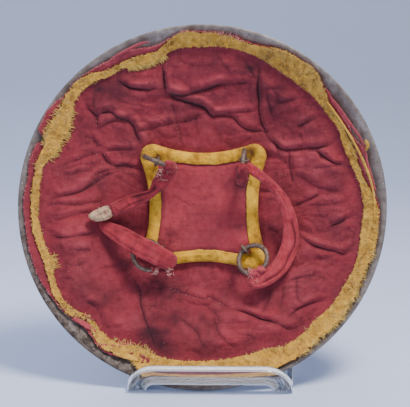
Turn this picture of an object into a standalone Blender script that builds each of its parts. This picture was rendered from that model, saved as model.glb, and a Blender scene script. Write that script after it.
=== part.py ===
# Round steel shield seen from its padded inside, leaning back on a clear bent stand.
# The shield is modelled upright in its own frame, which then leans back as one:
# x to the right, y from the open side towards the domed outer face, z up along the shield.
import math

import bmesh
import bpy
from mathutils import Vector

mm = 0.001

# Steel plate
rimRadius = 185 * mm
heightShare = 0.99           # the hand-beaten plate is a little lower than it is wide
domeDepth = 64 * mm
steelWall = 1.7 * mm
rimTurnDepth = 4.4 * mm      # the edge is turned over towards the outer face
rimTurnWidth = 4.5 * mm
rimRound = 0.9 * mm
leanAngle = math.radians(15)
platePoints = 56             # points round the plate, the lining and the ribbon
plateInnerShares = [0, 0.145, 0.29, 0.43, 0.57, 0.7, 0.83, 0.93, 1]      # rings of points over the radius
plateOuterShares = [1, 0.86, 0.68, 0.5, 0.32, 0.16, 0]

# Quilted lining
liningFit = 0.5 * mm
quiltThickness = 9 * mm
liningEdge = 2.2 * mm
foldDepth = 5 * mm
foldWidth = 7 * mm
edgeTaper = 0.15             # share of the radius over which the quilt thins to its edge
quiltFrontShares = [0.18, 0.34, 0.47, 0.57, 0.66, 0.74, 0.82, 0.89, 0.96]
quiltBackShares = [0.84, 0.6, 0.3]

# Round the edge, every 15 degrees counterclockwise from the right
bareSteel = [8, 18, 16, 11, 7, 11, 9.5, 15, 10, 6.5, 5, 6, 5.5, 6, 8.5, 14, 11, 14, 13, 12, 6.5, 7, 7.5, 7]
redMargin = [1, 3, 4.5, 1, 1, 3, 1, 5, 7.5, 1, 6, 6.5, 7, 8.5, 3, 5, 4, 2, 2, 1, 1, 1, 1, 1]
ribbonWidth = [14, 7, 5.5, 14, 19, 8, 12.5, 7.5, 5, 9.5, 16.5, 7, 7, 7, 6, 6.5, 8.5, 10.5, 12.5, 13.5,
               14.5, 17, 12.5, 13.5]
ribbonThickness = 1.2 * mm
ribbonFit = 0.5 * mm

# Sewn folds of the quilt, in millimetres right of and above the middle
quiltFolds = {
    "top left seam": [(-41, 150), (-38, 116)],
    "upper left arc": [(-86, 139), (-88, 130), (-57, 121), (-38, 116)],
    "upper sweep": [(-38, 116), (-8, 105), (10, 93), (38, 83), (64, 77)],
    "top arc": [(-38, 116), (-17, 114), (6, 123), (35, 126)],
    "top right seam": [(59, 150), (57, 115), (59, 87), (68, 68), (81, 59), (114, 60), (139, 68)],
    "right upper fold": [(114, 58), (127, 49), (149, 43)],
    "upper right fold": [(122, 98), (101, 85), (79, 87)],
    "left upper seam": [(-124, 115), (-109, 93), (-110, 80)],
    "left diagonal": [(-109, 94), (-76, 88), (-62, 63)],
    "left middle fold": [(-106, 56), (-86, 42), (-63, 42)],
    "left long fold": [(-159, 8), (-131, 15), (-103, 31)],
    "left lower fold": [(-160, -29), (-146, -31), (-112, -25)],
    "lower left fold": [(-120, -96), (-103, -121), (-79, -141)],
    "bottom left seam": [(-78, -67), (-64, -97), (-54, -127), (-42, -153)],
    "bottom long seam": [(-35, -83), (2, -93), (59, -114), (85, -123), (108, -108)],
    "lower right fold": [(88, -110), (113, -96), (133, -93)],
    "right lower fold": [(101, -32), (129, -43), (143, -46), (157, -40)],
    "right middle fold": [(129, -19), (159, -4)],
}

# Cushion for the knuckles and its binding
padHalf = 65 * mm            # middle to the furthest edge of a corner
padCornerRadius = 13 * mm
padFlare = math.radians(19)  # how far each side bends outwards at its ends
padFit = 0.5 * mm
padCrown = 10 * mm
padShoulder = 7 * mm
padEdge = 5 * mm
padShares = (0.35, 0.7, 1)   # rings of points from the middle to the binding's inner edge
padCrownFall = 3             # how late the crown falls off towards the edge
padBackShare = 0.5
bindingWidth = 12 * mm
bindingThickness = 1.2 * mm
bindingFit = 0.4 * mm
sidePoints = 6
cornerPoints = 3

# Iron rings, their split-pin eyes and the bosses that the pins end in
ringOuterDiameter = 35.5 * mm
ringWire = 4.8 * mm
ringSteps = 18               # points along a ring's wire, and round it
wireSides = 6
eyeWire = 2.6 * mm
eyeSteps = 12
eyeBore = 6.2 * mm
eyeLift = 1.5 * mm           # from the cushion to the underside of the eye
eyeFollow = 0.6              # 0 keeps the eye upright, 1 sets it square to the ring's wire
pinWidth = 3.6 * mm
pinEnd = 3 * mm              # what stands out of the plate, inside the boss
pinFit = 0.4 * mm
pinSides = 8
boreSides = 12
bossRadius = 15 * mm
bossHeight = 8 * mm
bossWall = 1.3 * mm
bossFit = 0.3 * mm
bossPoints = 12
bossBrim = 0.72              # shares of the boss's radius
bossShoulder = 0.45
bossHollow = 0.4
bossShoulderHeight = 0.82    # shares of its height
bossBrimHeight = 0.35

# Each eye's place on the cushion, where its ring's middle drops to, and whether the ring stands on edge
corners = {
    "upper_left": {"spot": (-51, 51), "drop": (3.1, -1.3), "onEdge": True},
    "upper_right": {"spot": (46, 53.5), "drop": (-0.5, -6.3), "onEdge": True},
    "lower_right": {"spot": (46.5, -46.5), "drop": (8.5, -10.2), "onEdge": False},
    "lower_left": {"spot": (-48, -46), "drop": (-11.8, -6.8), "onEdge": False},
}

# Grip straps: places along the middle line in millimetres, as (right, up, behind the rim, width, thickness)
strapRight = [
    (39.5, 37, 8, 13, 6), (44, 37, 8, 16, 10), (51, 37, 9, 16, 9), (61, 35, 13, 14, 7),
    (71, 27, 18, 12, 6), (79, 17, 21, 11, 6), (86, 3, 23, 12, 6), (89.5, -15, 24, 15, 6.5),
    (88, -33, 24, 17, 6.5), (80, -51, 23, 18, 7), (67, -65, 21, 17, 9), (56, -71, 20.5, 16, 11),
    (49, -71, 20.5, 14, 10),
]
strapLeftUpper = [
    (-28, 44, 17, 9, 8), (-32, 39, 16, 14, 11), (-36, 33, 16, 15, 10), (-43, 25, 16, 15, 7),
    (-51, 15, 18, 9, 6), (-60, 10, 21, 11, 7), (-72, 6, 23, 13, 8), (-85, 0, 24, 14, 9),
    (-94, -4.5, 23, 14, 9),
]
strapLeftLower = [
    (-106, -16, 28.5, 5, 3.5), (-98, -21, 27.5, 13, 4.5), (-84, -28.5, 25.5, 18, 5),
    (-68, -37, 22.5, 19, 5), (-55, -44.5, 20.5, 19.5, 5.5), (-48, -48.7, 21, 19.5, 6),
    (-40, -53, 25.5, 19, 11), (-33, -56, 26.5, 17, 10), (-28, -58.5, 27, 11, 7),
]
strapStuffing = [
    (-94.8, -5, 22.5, 12, 7.5), (-101, -7, 21.5, 13, 7.5), (-108, -8.5, 20.5, 11, 6.5),
    (-116, -9, 20, 5, 3.5),
]
strapPoints = 8              # points round a strap
strapStepsBetween = 2        # sections from one place to the next
strapSquareness = 0.7        # below 1 flattens the strap's oval section
strapFit = 0.4 * mm

# Clear stand: one sheet cut to a round-cornered loop, then bent
standWidth = 166 * mm
standShift = 9 * mm          # the shield stands a little left of the stand's middle
standBand = 19 * mm
standSheet = 8 * mm
standOuterCorner = 28 * mm
standInnerCorner = 9 * mm
standCornerSteps = 6
lipLean = math.radians(19)
lipUnderside = 12.5 * mm
rampAngle = math.radians(51)
standTop = 116 * mm
rearFootReach = 88 * mm      # behind the middle of the rim
rearFootLength = 27 * mm
footBend = 5.5 * mm
topBend = 14 * mm
rearBend = 9 * mm
bendStep = math.radians(18)
standFit = 0.5 * mm
floorFit = 0.5 * mm
supportSteps = 180           # places down the dome where its rest on the arms is looked for

# Worked out from the sizes above
outerSphere = (rimRadius ** 2 + domeDepth ** 2) / (2 * domeDepth)
innerSphere = outerSphere - steelWall
sphereSet = outerSphere - domeDepth      # from the sphere's middle to the rim's plane
liningTop = liningFit + quiltThickness
padSeat = liningTop + padFit
ringRadius = (ringOuterDiameter - ringWire) / 2
eyeRadius = (eyeBore + eyeWire) / 2
rimHeight = (floorFit + rimRadius * heightShare * math.cos(leanAngle)
             + rimTurnDepth * math.sin(leanAngle))


def removeSceneObjects():
    for item in list(bpy.context.scene.objects):
        bpy.data.objects.remove(item, do_unlink=True)


def makeMaterial(name, colour, roughness, metallic=0.0, transmission=0.0, ior=1.5):
    material = bpy.data.materials.new(name)
    material.use_nodes = True
    shader = material.node_tree.nodes["Principled BSDF"]
    shader.inputs["Base Color"].default_value = (*colour, 1.0)
    shader.inputs["Roughness"].default_value = roughness
    shader.inputs["Metallic"].default_value = metallic
    shader.inputs["Transmission Weight"].default_value = transmission
    shader.inputs["IOR"].default_value = ior
    return material


def makeEmpty(name, location, rotation):
    empty = bpy.data.objects.new(name, None)
    bpy.context.collection.objects.link(empty)
    empty.location = location
    empty.rotation_euler = rotation
    return empty


# A closed body from rings of points, each joined to the next. A ring of one point is a pole.
# A loop body also joins its last ring to its first.
def loftBody(name, rings, material, parent, isLoop=False):
    shape = bmesh.new()
    layers = [[shape.verts.new(point) for point in ring] for ring in rings]
    pairs = list(zip(layers, layers[1:]))
    if isLoop:
        pairs.append((layers[-1], layers[0]))
    for first, second in pairs:
        count = max(len(first), len(second))
        for i in range(count):
            j = (i + 1) % count
            if len(first) == 1:
                shape.faces.new((first[0], second[i], second[j]))
            elif len(second) == 1:
                shape.faces.new((first[i], first[j], second[0]))
            else:
                shape.faces.new((first[i], first[j], second[j], second[i]))
    return finishBody(name, shape, material, parent)


def finishBody(name, shape, material, parent):
    bmesh.ops.recalc_face_normals(shape, faces=shape.faces)
    mesh = bpy.data.meshes.new(name)
    shape.to_mesh(mesh)
    shape.free()
    mesh.shade_smooth()
    mesh.set_sharp_from_angle(angle=math.radians(35))
    body = bpy.data.objects.new(name, mesh)
    bpy.context.collection.objects.link(body)
    body.parent = parent
    if material:
        mesh.materials.append(material)
    return body


def cutWith(body, cutter, operation="DIFFERENCE"):
    modifier = body.modifiers.new(cutter.name, "BOOLEAN")
    modifier.operation = operation
    modifier.solver = "EXACT"
    modifier.object = cutter


def hideCutter(cutter):
    cutter.hide_render = True
    cutter.display_type = "WIRE"


# Depth behind the rim's plane of a point that lies a height above the steel's inner face
def depthAt(x, z, height):
    sphere = innerSphere - height
    return math.sqrt(sphere ** 2 - x ** 2 - (z / heightShare) ** 2) - sphereSet


def seatedPoint(x, z, height):
    return Vector((x, depthAt(x, z, height), z))


# The plate's normal at a place, pointing to the open side
def plateNormal(x, z):
    return Vector((-x, -(depthAt(x, z, 0) + sphereSet), -z / heightShare)).normalized()


def turned(radius, angle):
    return radius * math.cos(angle), radius * heightShare * math.sin(angle)


def plateAngles():
    return [2 * math.pi * i / platePoints for i in range(platePoints)]


# A smooth curve through equally spaced readings round the edge
def readRound(readings, angle):
    count = len(readings)
    place = angle / (2 * math.pi) * count
    i = int(place) % count
    t = place - int(place)
    p0, p1, p2, p3 = (readings[(i + k) % count] for k in (-1, 0, 1, 2))
    return smoothBetween(p0, p1, p2, p3, t)


def smoothBetween(p0, p1, p2, p3, t):
    return 0.5 * (2 * p1 + (p2 - p0) * t + (2 * p0 - 5 * p1 + 4 * p2 - p3) * t ** 2
                  + (3 * p1 - p0 - 3 * p2 + p3) * t ** 3)


def makeSteelBowl(material, parent):
    innerRim = math.sqrt(innerSphere ** 2 - sphereSet ** 2)
    turnStart = math.sqrt(outerSphere ** 2 - (sphereSet + rimTurnDepth) ** 2)
    inner = [innerRim * share for share in plateInnerShares]
    outer = [turnStart * share for share in plateOuterShares]
    profile = [(r, math.sqrt(innerSphere ** 2 - r ** 2) - sphereSet) for r in inner]
    profile.append((rimRadius - rimRound, 0))
    profile.append((rimRadius, rimRound))
    profile.append((rimRadius, rimTurnDepth - rimRound))
    profile.append((rimRadius - rimRound, rimTurnDepth))
    profile.append((rimRadius - rimTurnWidth, rimTurnDepth + rimRound / 2))
    profile += [(r, math.sqrt(outerSphere ** 2 - r ** 2) - sphereSet) for r in outer]
    rings = []
    for radius, depth in profile:
        places = [turned(radius, angle) for angle in plateAngles()] if radius > 0 else [(0, 0)]
        rings.append([Vector((x, depth, z)) for x, z in places])
    return loftBody("steel_bowl", rings, material, parent)


def liningOuter(angle):
    return rimRadius - readRound(bareSteel, angle) * mm


def ribbonOuter(angle):
    return liningOuter(angle) - readRound(redMargin, angle) * mm


def ribbonInner(angle):
    return ribbonOuter(angle) - readRound(ribbonWidth, angle) * mm


def distanceToRun(x, z, run):
    nearest = math.inf
    for (x0, z0), (x1, z1) in zip(run, run[1:]):
        start = Vector((x0, z0)) * mm
        step = Vector((x1, z1)) * mm - start
        offset = Vector((x, z)) - start
        share = max(0, min(1, offset.dot(step) / step.length_squared))
        nearest = min(nearest, (offset - step * share).length)
    return nearest


def foldAt(x, z):
    nearest = min(distanceToRun(x, z, run) for run in quiltFolds.values())
    return foldDepth * math.exp(-(nearest / foldWidth) ** 2)


def easeIn(value):
    value = max(0, min(1, value))
    return value * value * (3 - 2 * value)


# The quilt's height above the steel, thinning to the edge that the ribbon holds down
def quiltHeight(x, z, share):
    puff = easeIn((1 - share) / edgeTaper)
    return liningFit + liningEdge + (quiltThickness - liningEdge - foldAt(x, z)) * puff


def makeLining(material, parent):
    edgeHeight = liningFit + liningEdge
    rings = [[seatedPoint(0, 0, liningTop)]]
    for share in quiltFrontShares:
        places = [turned(ribbonInner(angle) * share, angle) for angle in plateAngles()]
        rings.append([seatedPoint(x, z, quiltHeight(x, z, share)) for x, z in places])
    for edge in (ribbonInner, ribbonOuter, liningOuter):
        rings.append(ringAt(edge, 1, edgeHeight))
    rings.append(ringAt(liningOuter, 1, liningFit))
    for share in quiltBackShares:
        rings.append(ringAt(liningOuter, share, liningFit))
    rings.append([seatedPoint(0, 0, liningFit)])
    return loftBody("quilted_lining", rings, material, parent)


def ringAt(edge, share, height):
    places = [turned(edge(angle) * share, angle) for angle in plateAngles()]
    return [seatedPoint(x, z, height) for x, z in places]


def makeRibbon(material, parent):
    under = liningFit + liningEdge + ribbonFit
    over = under + ribbonThickness

    def ribbonMiddle(angle):
        return (ribbonInner(angle) + ribbonOuter(angle)) / 2

    edges = [(ribbonInner, under), (ribbonMiddle, under), (ribbonOuter, under),
             (ribbonOuter, over), (ribbonMiddle, over), (ribbonInner, over)]
    rings = [ringAt(edge, 1, height) for edge, height in edges]
    return loftBody("edge_ribbon", rings, material, parent, isLoop=True)


# The cushion's outline: four sides that bow inwards between round corners, as (point, outward normal)
def padOutline():
    middle = padHalf - padCornerRadius
    endX = middle - padCornerRadius * math.sin(padFlare)
    endZ = middle + padCornerRadius * math.cos(padFlare)
    bow = math.tan(padFlare) * endX / 2
    quarter = []
    for i in range(sidePoints):
        share = 1 - 2 * i / sidePoints
        slope = math.tan(padFlare) * share
        point = Vector((endX * share, endZ - bow * (1 - share ** 2)))
        quarter.append((point, Vector((-slope, 1)).normalized()))
    for i in range(cornerPoints):
        angle = math.pi / 2 - padFlare + (math.pi / 2 + 2 * padFlare) * i / cornerPoints
        normal = Vector((math.cos(angle), math.sin(angle)))
        quarter.append((Vector((-middle, middle)) + normal * padCornerRadius, normal))
    outline = []
    for turn in range(4):
        for point, normal in quarter:
            outline.append((quarterTurned(point, turn), quarterTurned(normal, turn)))
    return outline


def quarterTurned(point, turns):
    for turn in range(turns):
        point = Vector((-point.y, point.x))
    return point


def padRing(inset, height, share=1.0):
    places = [(point - normal * inset) * share for point, normal in padOutline()]
    return [seatedPoint(place.x, place.y, height) for place in places]


def makePad(material, parent):
    wrapped = bindingThickness + bindingFit
    rings = [[seatedPoint(0, 0, padSeat + padCrown)]]
    for share in padShares:
        crown = padCrown + (padShoulder - padCrown) * share ** padCrownFall
        rings.append(padRing(bindingWidth, padSeat + crown, share))
    rings.append(padRing(wrapped, padSeat + padEdge))
    rings.append(padRing(wrapped, padSeat))
    rings.append(padRing(wrapped, padSeat, padBackShare))
    rings.append([seatedPoint(0, 0, padSeat)])
    return loftBody("knuckle_pad", rings, material, parent)


def makeBinding(material, parent):
    shoulder = padSeat + padShoulder + bindingFit
    edge = padSeat + padEdge + bindingFit
    rings = [
        padRing(bindingWidth, shoulder),
        padRing(bindingThickness, edge),
        padRing(bindingThickness, padSeat),
        padRing(0, padSeat),
        padRing(0, edge + bindingThickness / 2),
        padRing(bindingThickness, edge + bindingThickness),
        padRing(bindingWidth, shoulder + bindingThickness),
    ]
    return loftBody("pad_binding", rings, material, parent, isLoop=True)


# Where a corner's pin stands on the steel's inner face, which way it points, and where its eye begins
def pinPlace(corner):
    x, z = (value * mm for value in corner["spot"])
    normal = plateNormal(x, z)
    foot = seatedPoint(x, z, 0)
    neck = foot + normal * (padSeat + padShoulder + eyeLift + eyeWire / 2)
    return foot, normal, neck


# The eye leans a little towards the run of the ring's wire, which passes through its middle
def eyePlace(corner):
    normal, neck = pinPlace(corner)[1:]
    dropX, dropZ = (value * mm for value in corner["drop"])
    rise = math.sqrt(ringRadius ** 2 - dropX ** 2 - dropZ ** 2)
    spoke = Vector((dropX, -rise, dropZ)).normalized()
    if corner["onEdge"]:
        across = spoke.cross(Vector((0, 1, 0))).normalized()
    else:
        across = spoke.cross(spoke.cross(normal)).normalized()
    wireRun = across.cross(spoke)
    upright = (wireRun - normal * wireRun.dot(normal)).normalized()
    loopAxis = upright.lerp(wireRun, eyeFollow).normalized()
    rising = (normal - loopAxis * normal.dot(loopAxis)).normalized()
    return {"middle": neck + rising * eyeRadius, "loopAxis": loopAxis, "rising": rising,
            "spoke": spoke, "across": across}


# Rings of points that follow a circle, for a round wire bent round it
def wireRings(middle, across, start, radius, wireRadius, steps, sides):
    side = across.cross(start)
    rings = []
    for i in range(steps):
        angle = 2 * math.pi * i / steps
        outward = start * math.cos(angle) + side * math.sin(angle)
        ring = []
        for j in range(sides):
            turn = 2 * math.pi * j / sides
            ring.append(middle + outward * (radius + wireRadius * math.cos(turn))
                        + across * wireRadius * math.sin(turn))
        rings.append(ring)
    return rings


# The ring hangs from the eye's middle, which its wire passes through
def makeRing(name, corner, wireRadius, material, parent):
    eye = eyePlace(corner)
    middle = eye["middle"] + eye["spoke"] * ringRadius
    rings = wireRings(middle, eye["across"], eye["spoke"], ringRadius, wireRadius, ringSteps, wireSides)
    return loftBody(name, rings, material, parent, isLoop=True)


def cylinderBetween(name, start, end, radius, sides, material, parent):
    axis = (end - start).normalized()
    side = axis.orthogonal().normalized()
    other = axis.cross(side)
    angles = [2 * math.pi * i / sides for i in range(sides)]
    rim = [(side * math.cos(angle) + other * math.sin(angle)) * radius for angle in angles]
    rings = [[start], [start + point for point in rim], [end + point for point in rim], [end]]
    return loftBody(name, rings, material, parent)


def eyeRings(corner, wireRadius):
    eye = eyePlace(corner)
    return wireRings(eye["middle"], eye["loopAxis"], eye["rising"], eyeRadius, wireRadius,
                     eyeSteps, wireSides)


# The loop of the split pin, joined to the shank that its two legs make
def makeEye(name, corner, material, parent):
    foot, normal, neck = pinPlace(corner)
    rings = eyeRings(corner, eyeWire / 2)
    eye = loftBody(name, rings, material, parent, isLoop=True)
    tip = foot - normal * (steelWall + pinEnd)
    shank = cylinderBetween(name + "_shank", neck, tip, pinWidth / 2, pinSides, material, parent)
    hideCutter(shank)
    cutWith(eye, shank, "UNION")
    return eye


# Straight bores for the four pins, cut out of everything that they pass through
def makePinBores(parent):
    shape = bmesh.new()
    for corner in corners.values():
        foot, normal, neck = pinPlace(corner)
        bore = cylinderBetween("pin_bore", neck, foot - normal * (steelWall + pinEnd),
                               pinWidth / 2 + pinFit, boreSides, None, parent)
        shape.from_mesh(bore.data)
        bpy.data.objects.remove(bore, do_unlink=True)
    bores = finishBody("pin_bores", shape, None, parent)
    hideCutter(bores)
    return bores


# A hollow domed boss, seated on the outer face round the end of a pin
def makeBoss(name, corner, material, parent):
    foot, normal = pinPlace(corner)[:2]
    outward = -normal
    seat = foot + outward * steelWall
    brim = bossRadius * bossBrim
    seatHeight = bossFit - brim ** 2 / (2 * outerSphere)
    profile = [
        (0, bossHeight),
        (bossRadius * bossShoulder, bossHeight * bossShoulderHeight),
        (brim, bossHeight * bossBrimHeight),
        (bossRadius, seatHeight + bossWall),
        (bossRadius, seatHeight),
        (brim - bossWall, seatHeight),
        (bossRadius * bossHollow, bossHeight * bossShoulderHeight - bossWall),
        (0, bossHeight - bossWall),
    ]
    side = outward.orthogonal().normalized()
    other = outward.cross(side)
    rings = []
    for radius, height in profile:
        angles = [2 * math.pi * i / bossPoints for i in range(bossPoints)] if radius > 0 else [0]
        rings.append([seat + outward * height + (side * math.cos(a) + other * math.sin(a)) * radius
                      for a in angles])
    return loftBody(name, rings, material, parent)


# Rings of points along a strap: an oval section that faces the open side
def strapRings(stations):
    padded = [stations[0], *stations, stations[-1]]
    samples = []
    for i in range(len(stations) - 1):
        for k in range(strapStepsBetween):
            t = k / strapStepsBetween
            samples.append([smoothBetween(*values, t) * mm for values in zip(*padded[i:i + 4])])
    samples.append([value * mm for value in stations[-1]])
    middles = [Vector((sample[0], sample[2], sample[1])) for sample in samples]
    facing = Vector((0, -1, 0))
    rings = []
    for i, sample in enumerate(samples):
        width, thickness = sample[3:]
        run = (middles[min(i + 1, len(middles) - 1)] - middles[max(i - 1, 0)]).normalized()
        sideways = run.cross(facing).normalized()
        upwards = sideways.cross(run)
        ring = []
        for j in range(strapPoints):
            angle = 2 * math.pi * j / strapPoints
            across = squared(math.cos(angle)) * width / 2
            high = squared(math.sin(angle)) * thickness / 2
            ring.append(middles[i] + sideways * across + upwards * high)
        rings.append(ring)
    return [[middles[0]], *rings, [middles[-1]]]


def squared(value):
    return math.copysign(abs(value) ** strapSquareness, value)


def makeStrap(name, stations, material, parent, cutters=()):
    strap = loftBody(name, strapRings(stations), material, parent)
    for cutter in cutters:
        cutWith(strap, cutter)
    return strap


# Room for a corner's ring and eye, cut out of the strap that is folded round them
def makeRingRooms(cornerName, parent):
    corner = corners[cornerName]
    ringRoom = makeRing("room_for_ring_" + cornerName, corner, ringWire / 2 + strapFit, None, parent)
    eyeRoom = loftBody("room_for_eye_" + cornerName, eyeRings(corner, eyeWire / 2 + strapFit), None, parent,
                       isLoop=True)
    hideCutter(ringRoom)
    hideCutter(eyeRoom)
    return [ringRoom, eyeRoom]


# From the shield's middle line to the inner edge of the nearer arm
def nearestArm():
    return standWidth / 2 - standBand - abs(standShift)


# How far the outer face reaches down and back, square to the ramp, beside the arm nearest to the middle
def rampSupport():
    armInner = nearestArm()
    reach = -math.inf
    for i in range(supportSteps):
        z = -rimRadius * heightShare * i / supportSteps
        radius = math.hypot(armInner, z / heightShare)
        if radius < rimRadius:
            depth = math.sqrt(outerSphere ** 2 - radius ** 2) - sphereSet
            back, up = leaned(depth, z)
            reach = max(reach, back * math.sin(rampAngle) - up * math.cos(rampAngle))
    return reach


# From depth and height in the shield's frame to back and up in the stand's
def leaned(depth, z):
    back = z * math.sin(leanAngle) + depth * math.cos(leanAngle)
    up = rimHeight + z * math.cos(leanAngle) - depth * math.sin(leanAngle)
    return back, up


# The middle line of the bent sheet, seen from the side: (back, up) at each bend
def standBends():
    half = standSheet / 2
    rimZ = (lipUnderside - rimHeight) / math.cos(leanAngle)
    armRimZ = -heightShare * math.sqrt(rimRadius ** 2 - nearestArm() ** 2)
    armRimBack, armRimUp = leaned(0, armRimZ)
    atArm = armRimBack - (lipUnderside - armRimUp) * math.tan(lipLean)
    lipBack = min(rimZ * math.sin(leanAngle), atArm) - standFit / math.cos(lipLean)
    lipRun = Vector((math.sin(lipLean), -math.cos(lipLean)))
    lipLow = Vector((lipBack, lipUnderside)) - Vector((math.cos(lipLean), math.sin(lipLean))) * half
    lipTop = lipLow - lipRun * standBand
    frontBend = lipLow + lipRun * (lipLow.y - half) / math.cos(lipLean)
    reach = rampSupport() + standFit + half
    rampFoot = Vector(((reach + half * math.cos(rampAngle)) / math.sin(rampAngle), half))
    rampTop = Vector(((reach + standTop * math.cos(rampAngle)) / math.sin(rampAngle), standTop))
    rearBendPoint = Vector((rearFootReach, half))
    rearEnd = Vector((rearFootReach + rearFootLength, half))
    points = [lipTop, frontBend, rampFoot, rampTop, rearBendPoint, rearEnd]
    return points, [0, footBend, footBend, topBend, rearBend, 0]


# Straight runs and arcs of a bent line, each as a function from distance along it to point and normal
def bentLine():
    points, radii = standBends()
    pieces = []
    place = points[0]
    for i in range(1, len(points)):
        run = (points[i] - points[i - 1]).normalized()
        trim = 0
        turn = 0
        if i < len(points) - 1:
            after = (points[i + 1] - points[i]).normalized()
            turn = math.atan2(run.cross(after), run.dot(after))
            trim = radii[i] * math.tan(abs(turn) / 2)
        end = points[i] - run * trim
        pieces.append(("run", place, run, (end - place).length, 0))
        if turn:
            pieces.append(("arc", end, run, radii[i] * abs(turn), math.copysign(radii[i], turn)))
            place = points[i] + after * trim
    return pieces


def alongLine(pieces, distance):
    for i, (kind, start, run, length, radius) in enumerate(pieces):
        if distance <= length or i == len(pieces) - 1:
            break
        distance -= length
    left = Vector((-run.y, run.x))
    if kind == "run":
        return start + run * distance, left
    angle = distance / radius
    normal = left * math.cos(angle) - run * math.sin(angle)
    return start + left * radius - normal * radius, normal


def bendDistances(pieces):
    distances = []
    place = 0
    for kind, start, run, length, radius in pieces:
        count = 1 if kind == "run" else math.ceil(length / abs(radius) / bendStep)
        distances += [place + length * k / count for k in range(count)]
        place += length
    return distances, place


# Matching points on the outer and inner edge of the flat loop, as (across, along)
def loopStations(pieces):
    half = standWidth / 2
    distances, total = bendDistances(pieces)
    innerEnd = standBand + standInnerCorner
    arm = [d for d in distances if innerEnd < d < total - innerEnd]
    corner = []
    for i in range(standCornerSteps + 1):
        angle = math.pi / 2 * i / standCornerSteps
        outer = (half - standOuterCorner * (1 - math.sin(angle)), standOuterCorner * (1 - math.cos(angle)))
        inner = (half - standBand - standInnerCorner * (1 - math.sin(angle)),
                 standBand + standInnerCorner * (1 - math.cos(angle)))
        corner.append((outer, inner))
    rightSide = corner + [((half, d), (half - standBand, d)) for d in arm]
    rightSide += [tuple((x, total - d) for x, d in pair) for pair in reversed(corner)]
    leftSide = [tuple((-x, d) for x, d in pair) for pair in reversed(rightSide)]
    return rightSide + leftSide


def makeStand(material, parent):
    pieces = bentLine()
    stations = loopStations(pieces)

    def sheetPoint(place, side):
        middle, normal = alongLine(pieces, place[1])
        point = middle + normal * side * standSheet / 2
        return Vector((place[0] + standShift, point.x, point.y))

    rings = []
    for edge, side in ((0, 1), (0, -1), (1, -1), (1, 1)):
        rings.append([sheetPoint(station[edge], side) for station in stations])
    return loftBody("display_stand", rings, material, parent, isLoop=True)


# Moves everything so that the middle of its box stands over the origin and its lowest point on the floor
def standOnOrigin(root):
    bpy.context.view_layer.update()
    seen = [item for item in bpy.context.scene.objects if item.type == "MESH" and not item.hide_render]
    points = [item.matrix_world @ vertex.co for item in seen for vertex in item.data.vertices]
    lows = [min(point[k] for point in points) for k in range(3)]
    highs = [max(point[k] for point in points) for k in range(3)]
    root.location = (-(lows[0] + highs[0]) / 2, -(lows[1] + highs[1]) / 2, -lows[2])


def buildShield():
    removeSceneObjects()
    steel = makeMaterial("aged_steel", (0.16, 0.16, 0.155), 0.45, metallic=1.0)
    iron = makeMaterial("forged_iron", (0.2, 0.17, 0.15), 0.5, metallic=1.0)
    redCotton = makeMaterial("red_cotton", (0.33, 0.045, 0.055), 0.9)
    strapCotton = makeMaterial("red_strap_cotton", (0.36, 0.04, 0.05), 0.85)
    ribbonSilk = makeMaterial("yellow_ribbon", (0.56, 0.36, 0.08), 0.75)
    bindingCloth = makeMaterial("yellow_binding", (0.6, 0.38, 0.06), 0.8)
    rawCotton = makeMaterial("raw_cotton", (0.72, 0.54, 0.33), 0.95)
    acrylic = makeMaterial("clear_acrylic", (0.95, 0.97, 0.98), 0.05, transmission=1.0, ior=1.49)

    root = makeEmpty("shield_and_stand", (0, 0, 0), (0, 0, 0))
    shieldFrame = makeEmpty("shield_frame", (0, 0, rimHeight), (-leanAngle, 0, 0))
    shieldFrame.parent = root

    bores = makePinBores(shieldFrame)
    bored = [
        makeSteelBowl(steel, shieldFrame),
        makeLining(redCotton, shieldFrame),
        makePad(redCotton, shieldFrame),
        makeBinding(bindingCloth, shieldFrame),
    ]
    for body in bored:
        cutWith(body, bores)
    makeRibbon(ribbonSilk, shieldFrame)
    for name, corner in corners.items():
        makeBoss("boss_" + name, corner, steel, shieldFrame)
        makeEye("ring_eye_" + name, corner, iron, shieldFrame)
        makeRing("grip_ring_" + name, corner, ringWire / 2, iron, shieldFrame)
    rooms = {name: makeRingRooms(name, shieldFrame) for name in corners}
    makeStrap("grip_strap_right", strapRight, strapCotton, shieldFrame,
              rooms["upper_right"] + rooms["lower_right"])
    makeStrap("grip_strap_left_upper", strapLeftUpper, strapCotton, shieldFrame, rooms["upper_left"])
    makeStrap("grip_strap_left_lower", strapLeftLower, strapCotton, shieldFrame, rooms["lower_left"])
    makeStrap("grip_strap_left_stuffing", strapStuffing, rawCotton, shieldFrame)
    makeStand(acrylic, root)
    standOnOrigin(root)


buildShield()
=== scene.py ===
# Looks of a round steel shield seen from its quilted inside, leaning back on a clear bent stand.
# Shapes are worked out in millimetres in the shield's own frame: x to the right, y from the open side
# to the domed face, z up along the shield. placed() leans them and turns them into metres.
import math

import bmesh
import bpy
import numpy as np
from mathutils import Matrix, Vector


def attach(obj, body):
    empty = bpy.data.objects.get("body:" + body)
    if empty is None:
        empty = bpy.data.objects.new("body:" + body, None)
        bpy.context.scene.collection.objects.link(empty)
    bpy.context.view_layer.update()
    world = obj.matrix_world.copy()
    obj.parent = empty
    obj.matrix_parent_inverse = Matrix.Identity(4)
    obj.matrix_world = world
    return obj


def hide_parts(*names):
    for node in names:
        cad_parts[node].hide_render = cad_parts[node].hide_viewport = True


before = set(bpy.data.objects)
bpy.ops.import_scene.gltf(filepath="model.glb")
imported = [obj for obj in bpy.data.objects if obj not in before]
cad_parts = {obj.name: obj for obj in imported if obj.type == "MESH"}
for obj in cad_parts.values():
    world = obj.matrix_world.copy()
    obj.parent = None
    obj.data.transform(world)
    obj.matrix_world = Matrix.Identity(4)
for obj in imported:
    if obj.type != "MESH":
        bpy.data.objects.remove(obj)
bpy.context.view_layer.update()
metres = 0.001
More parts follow.
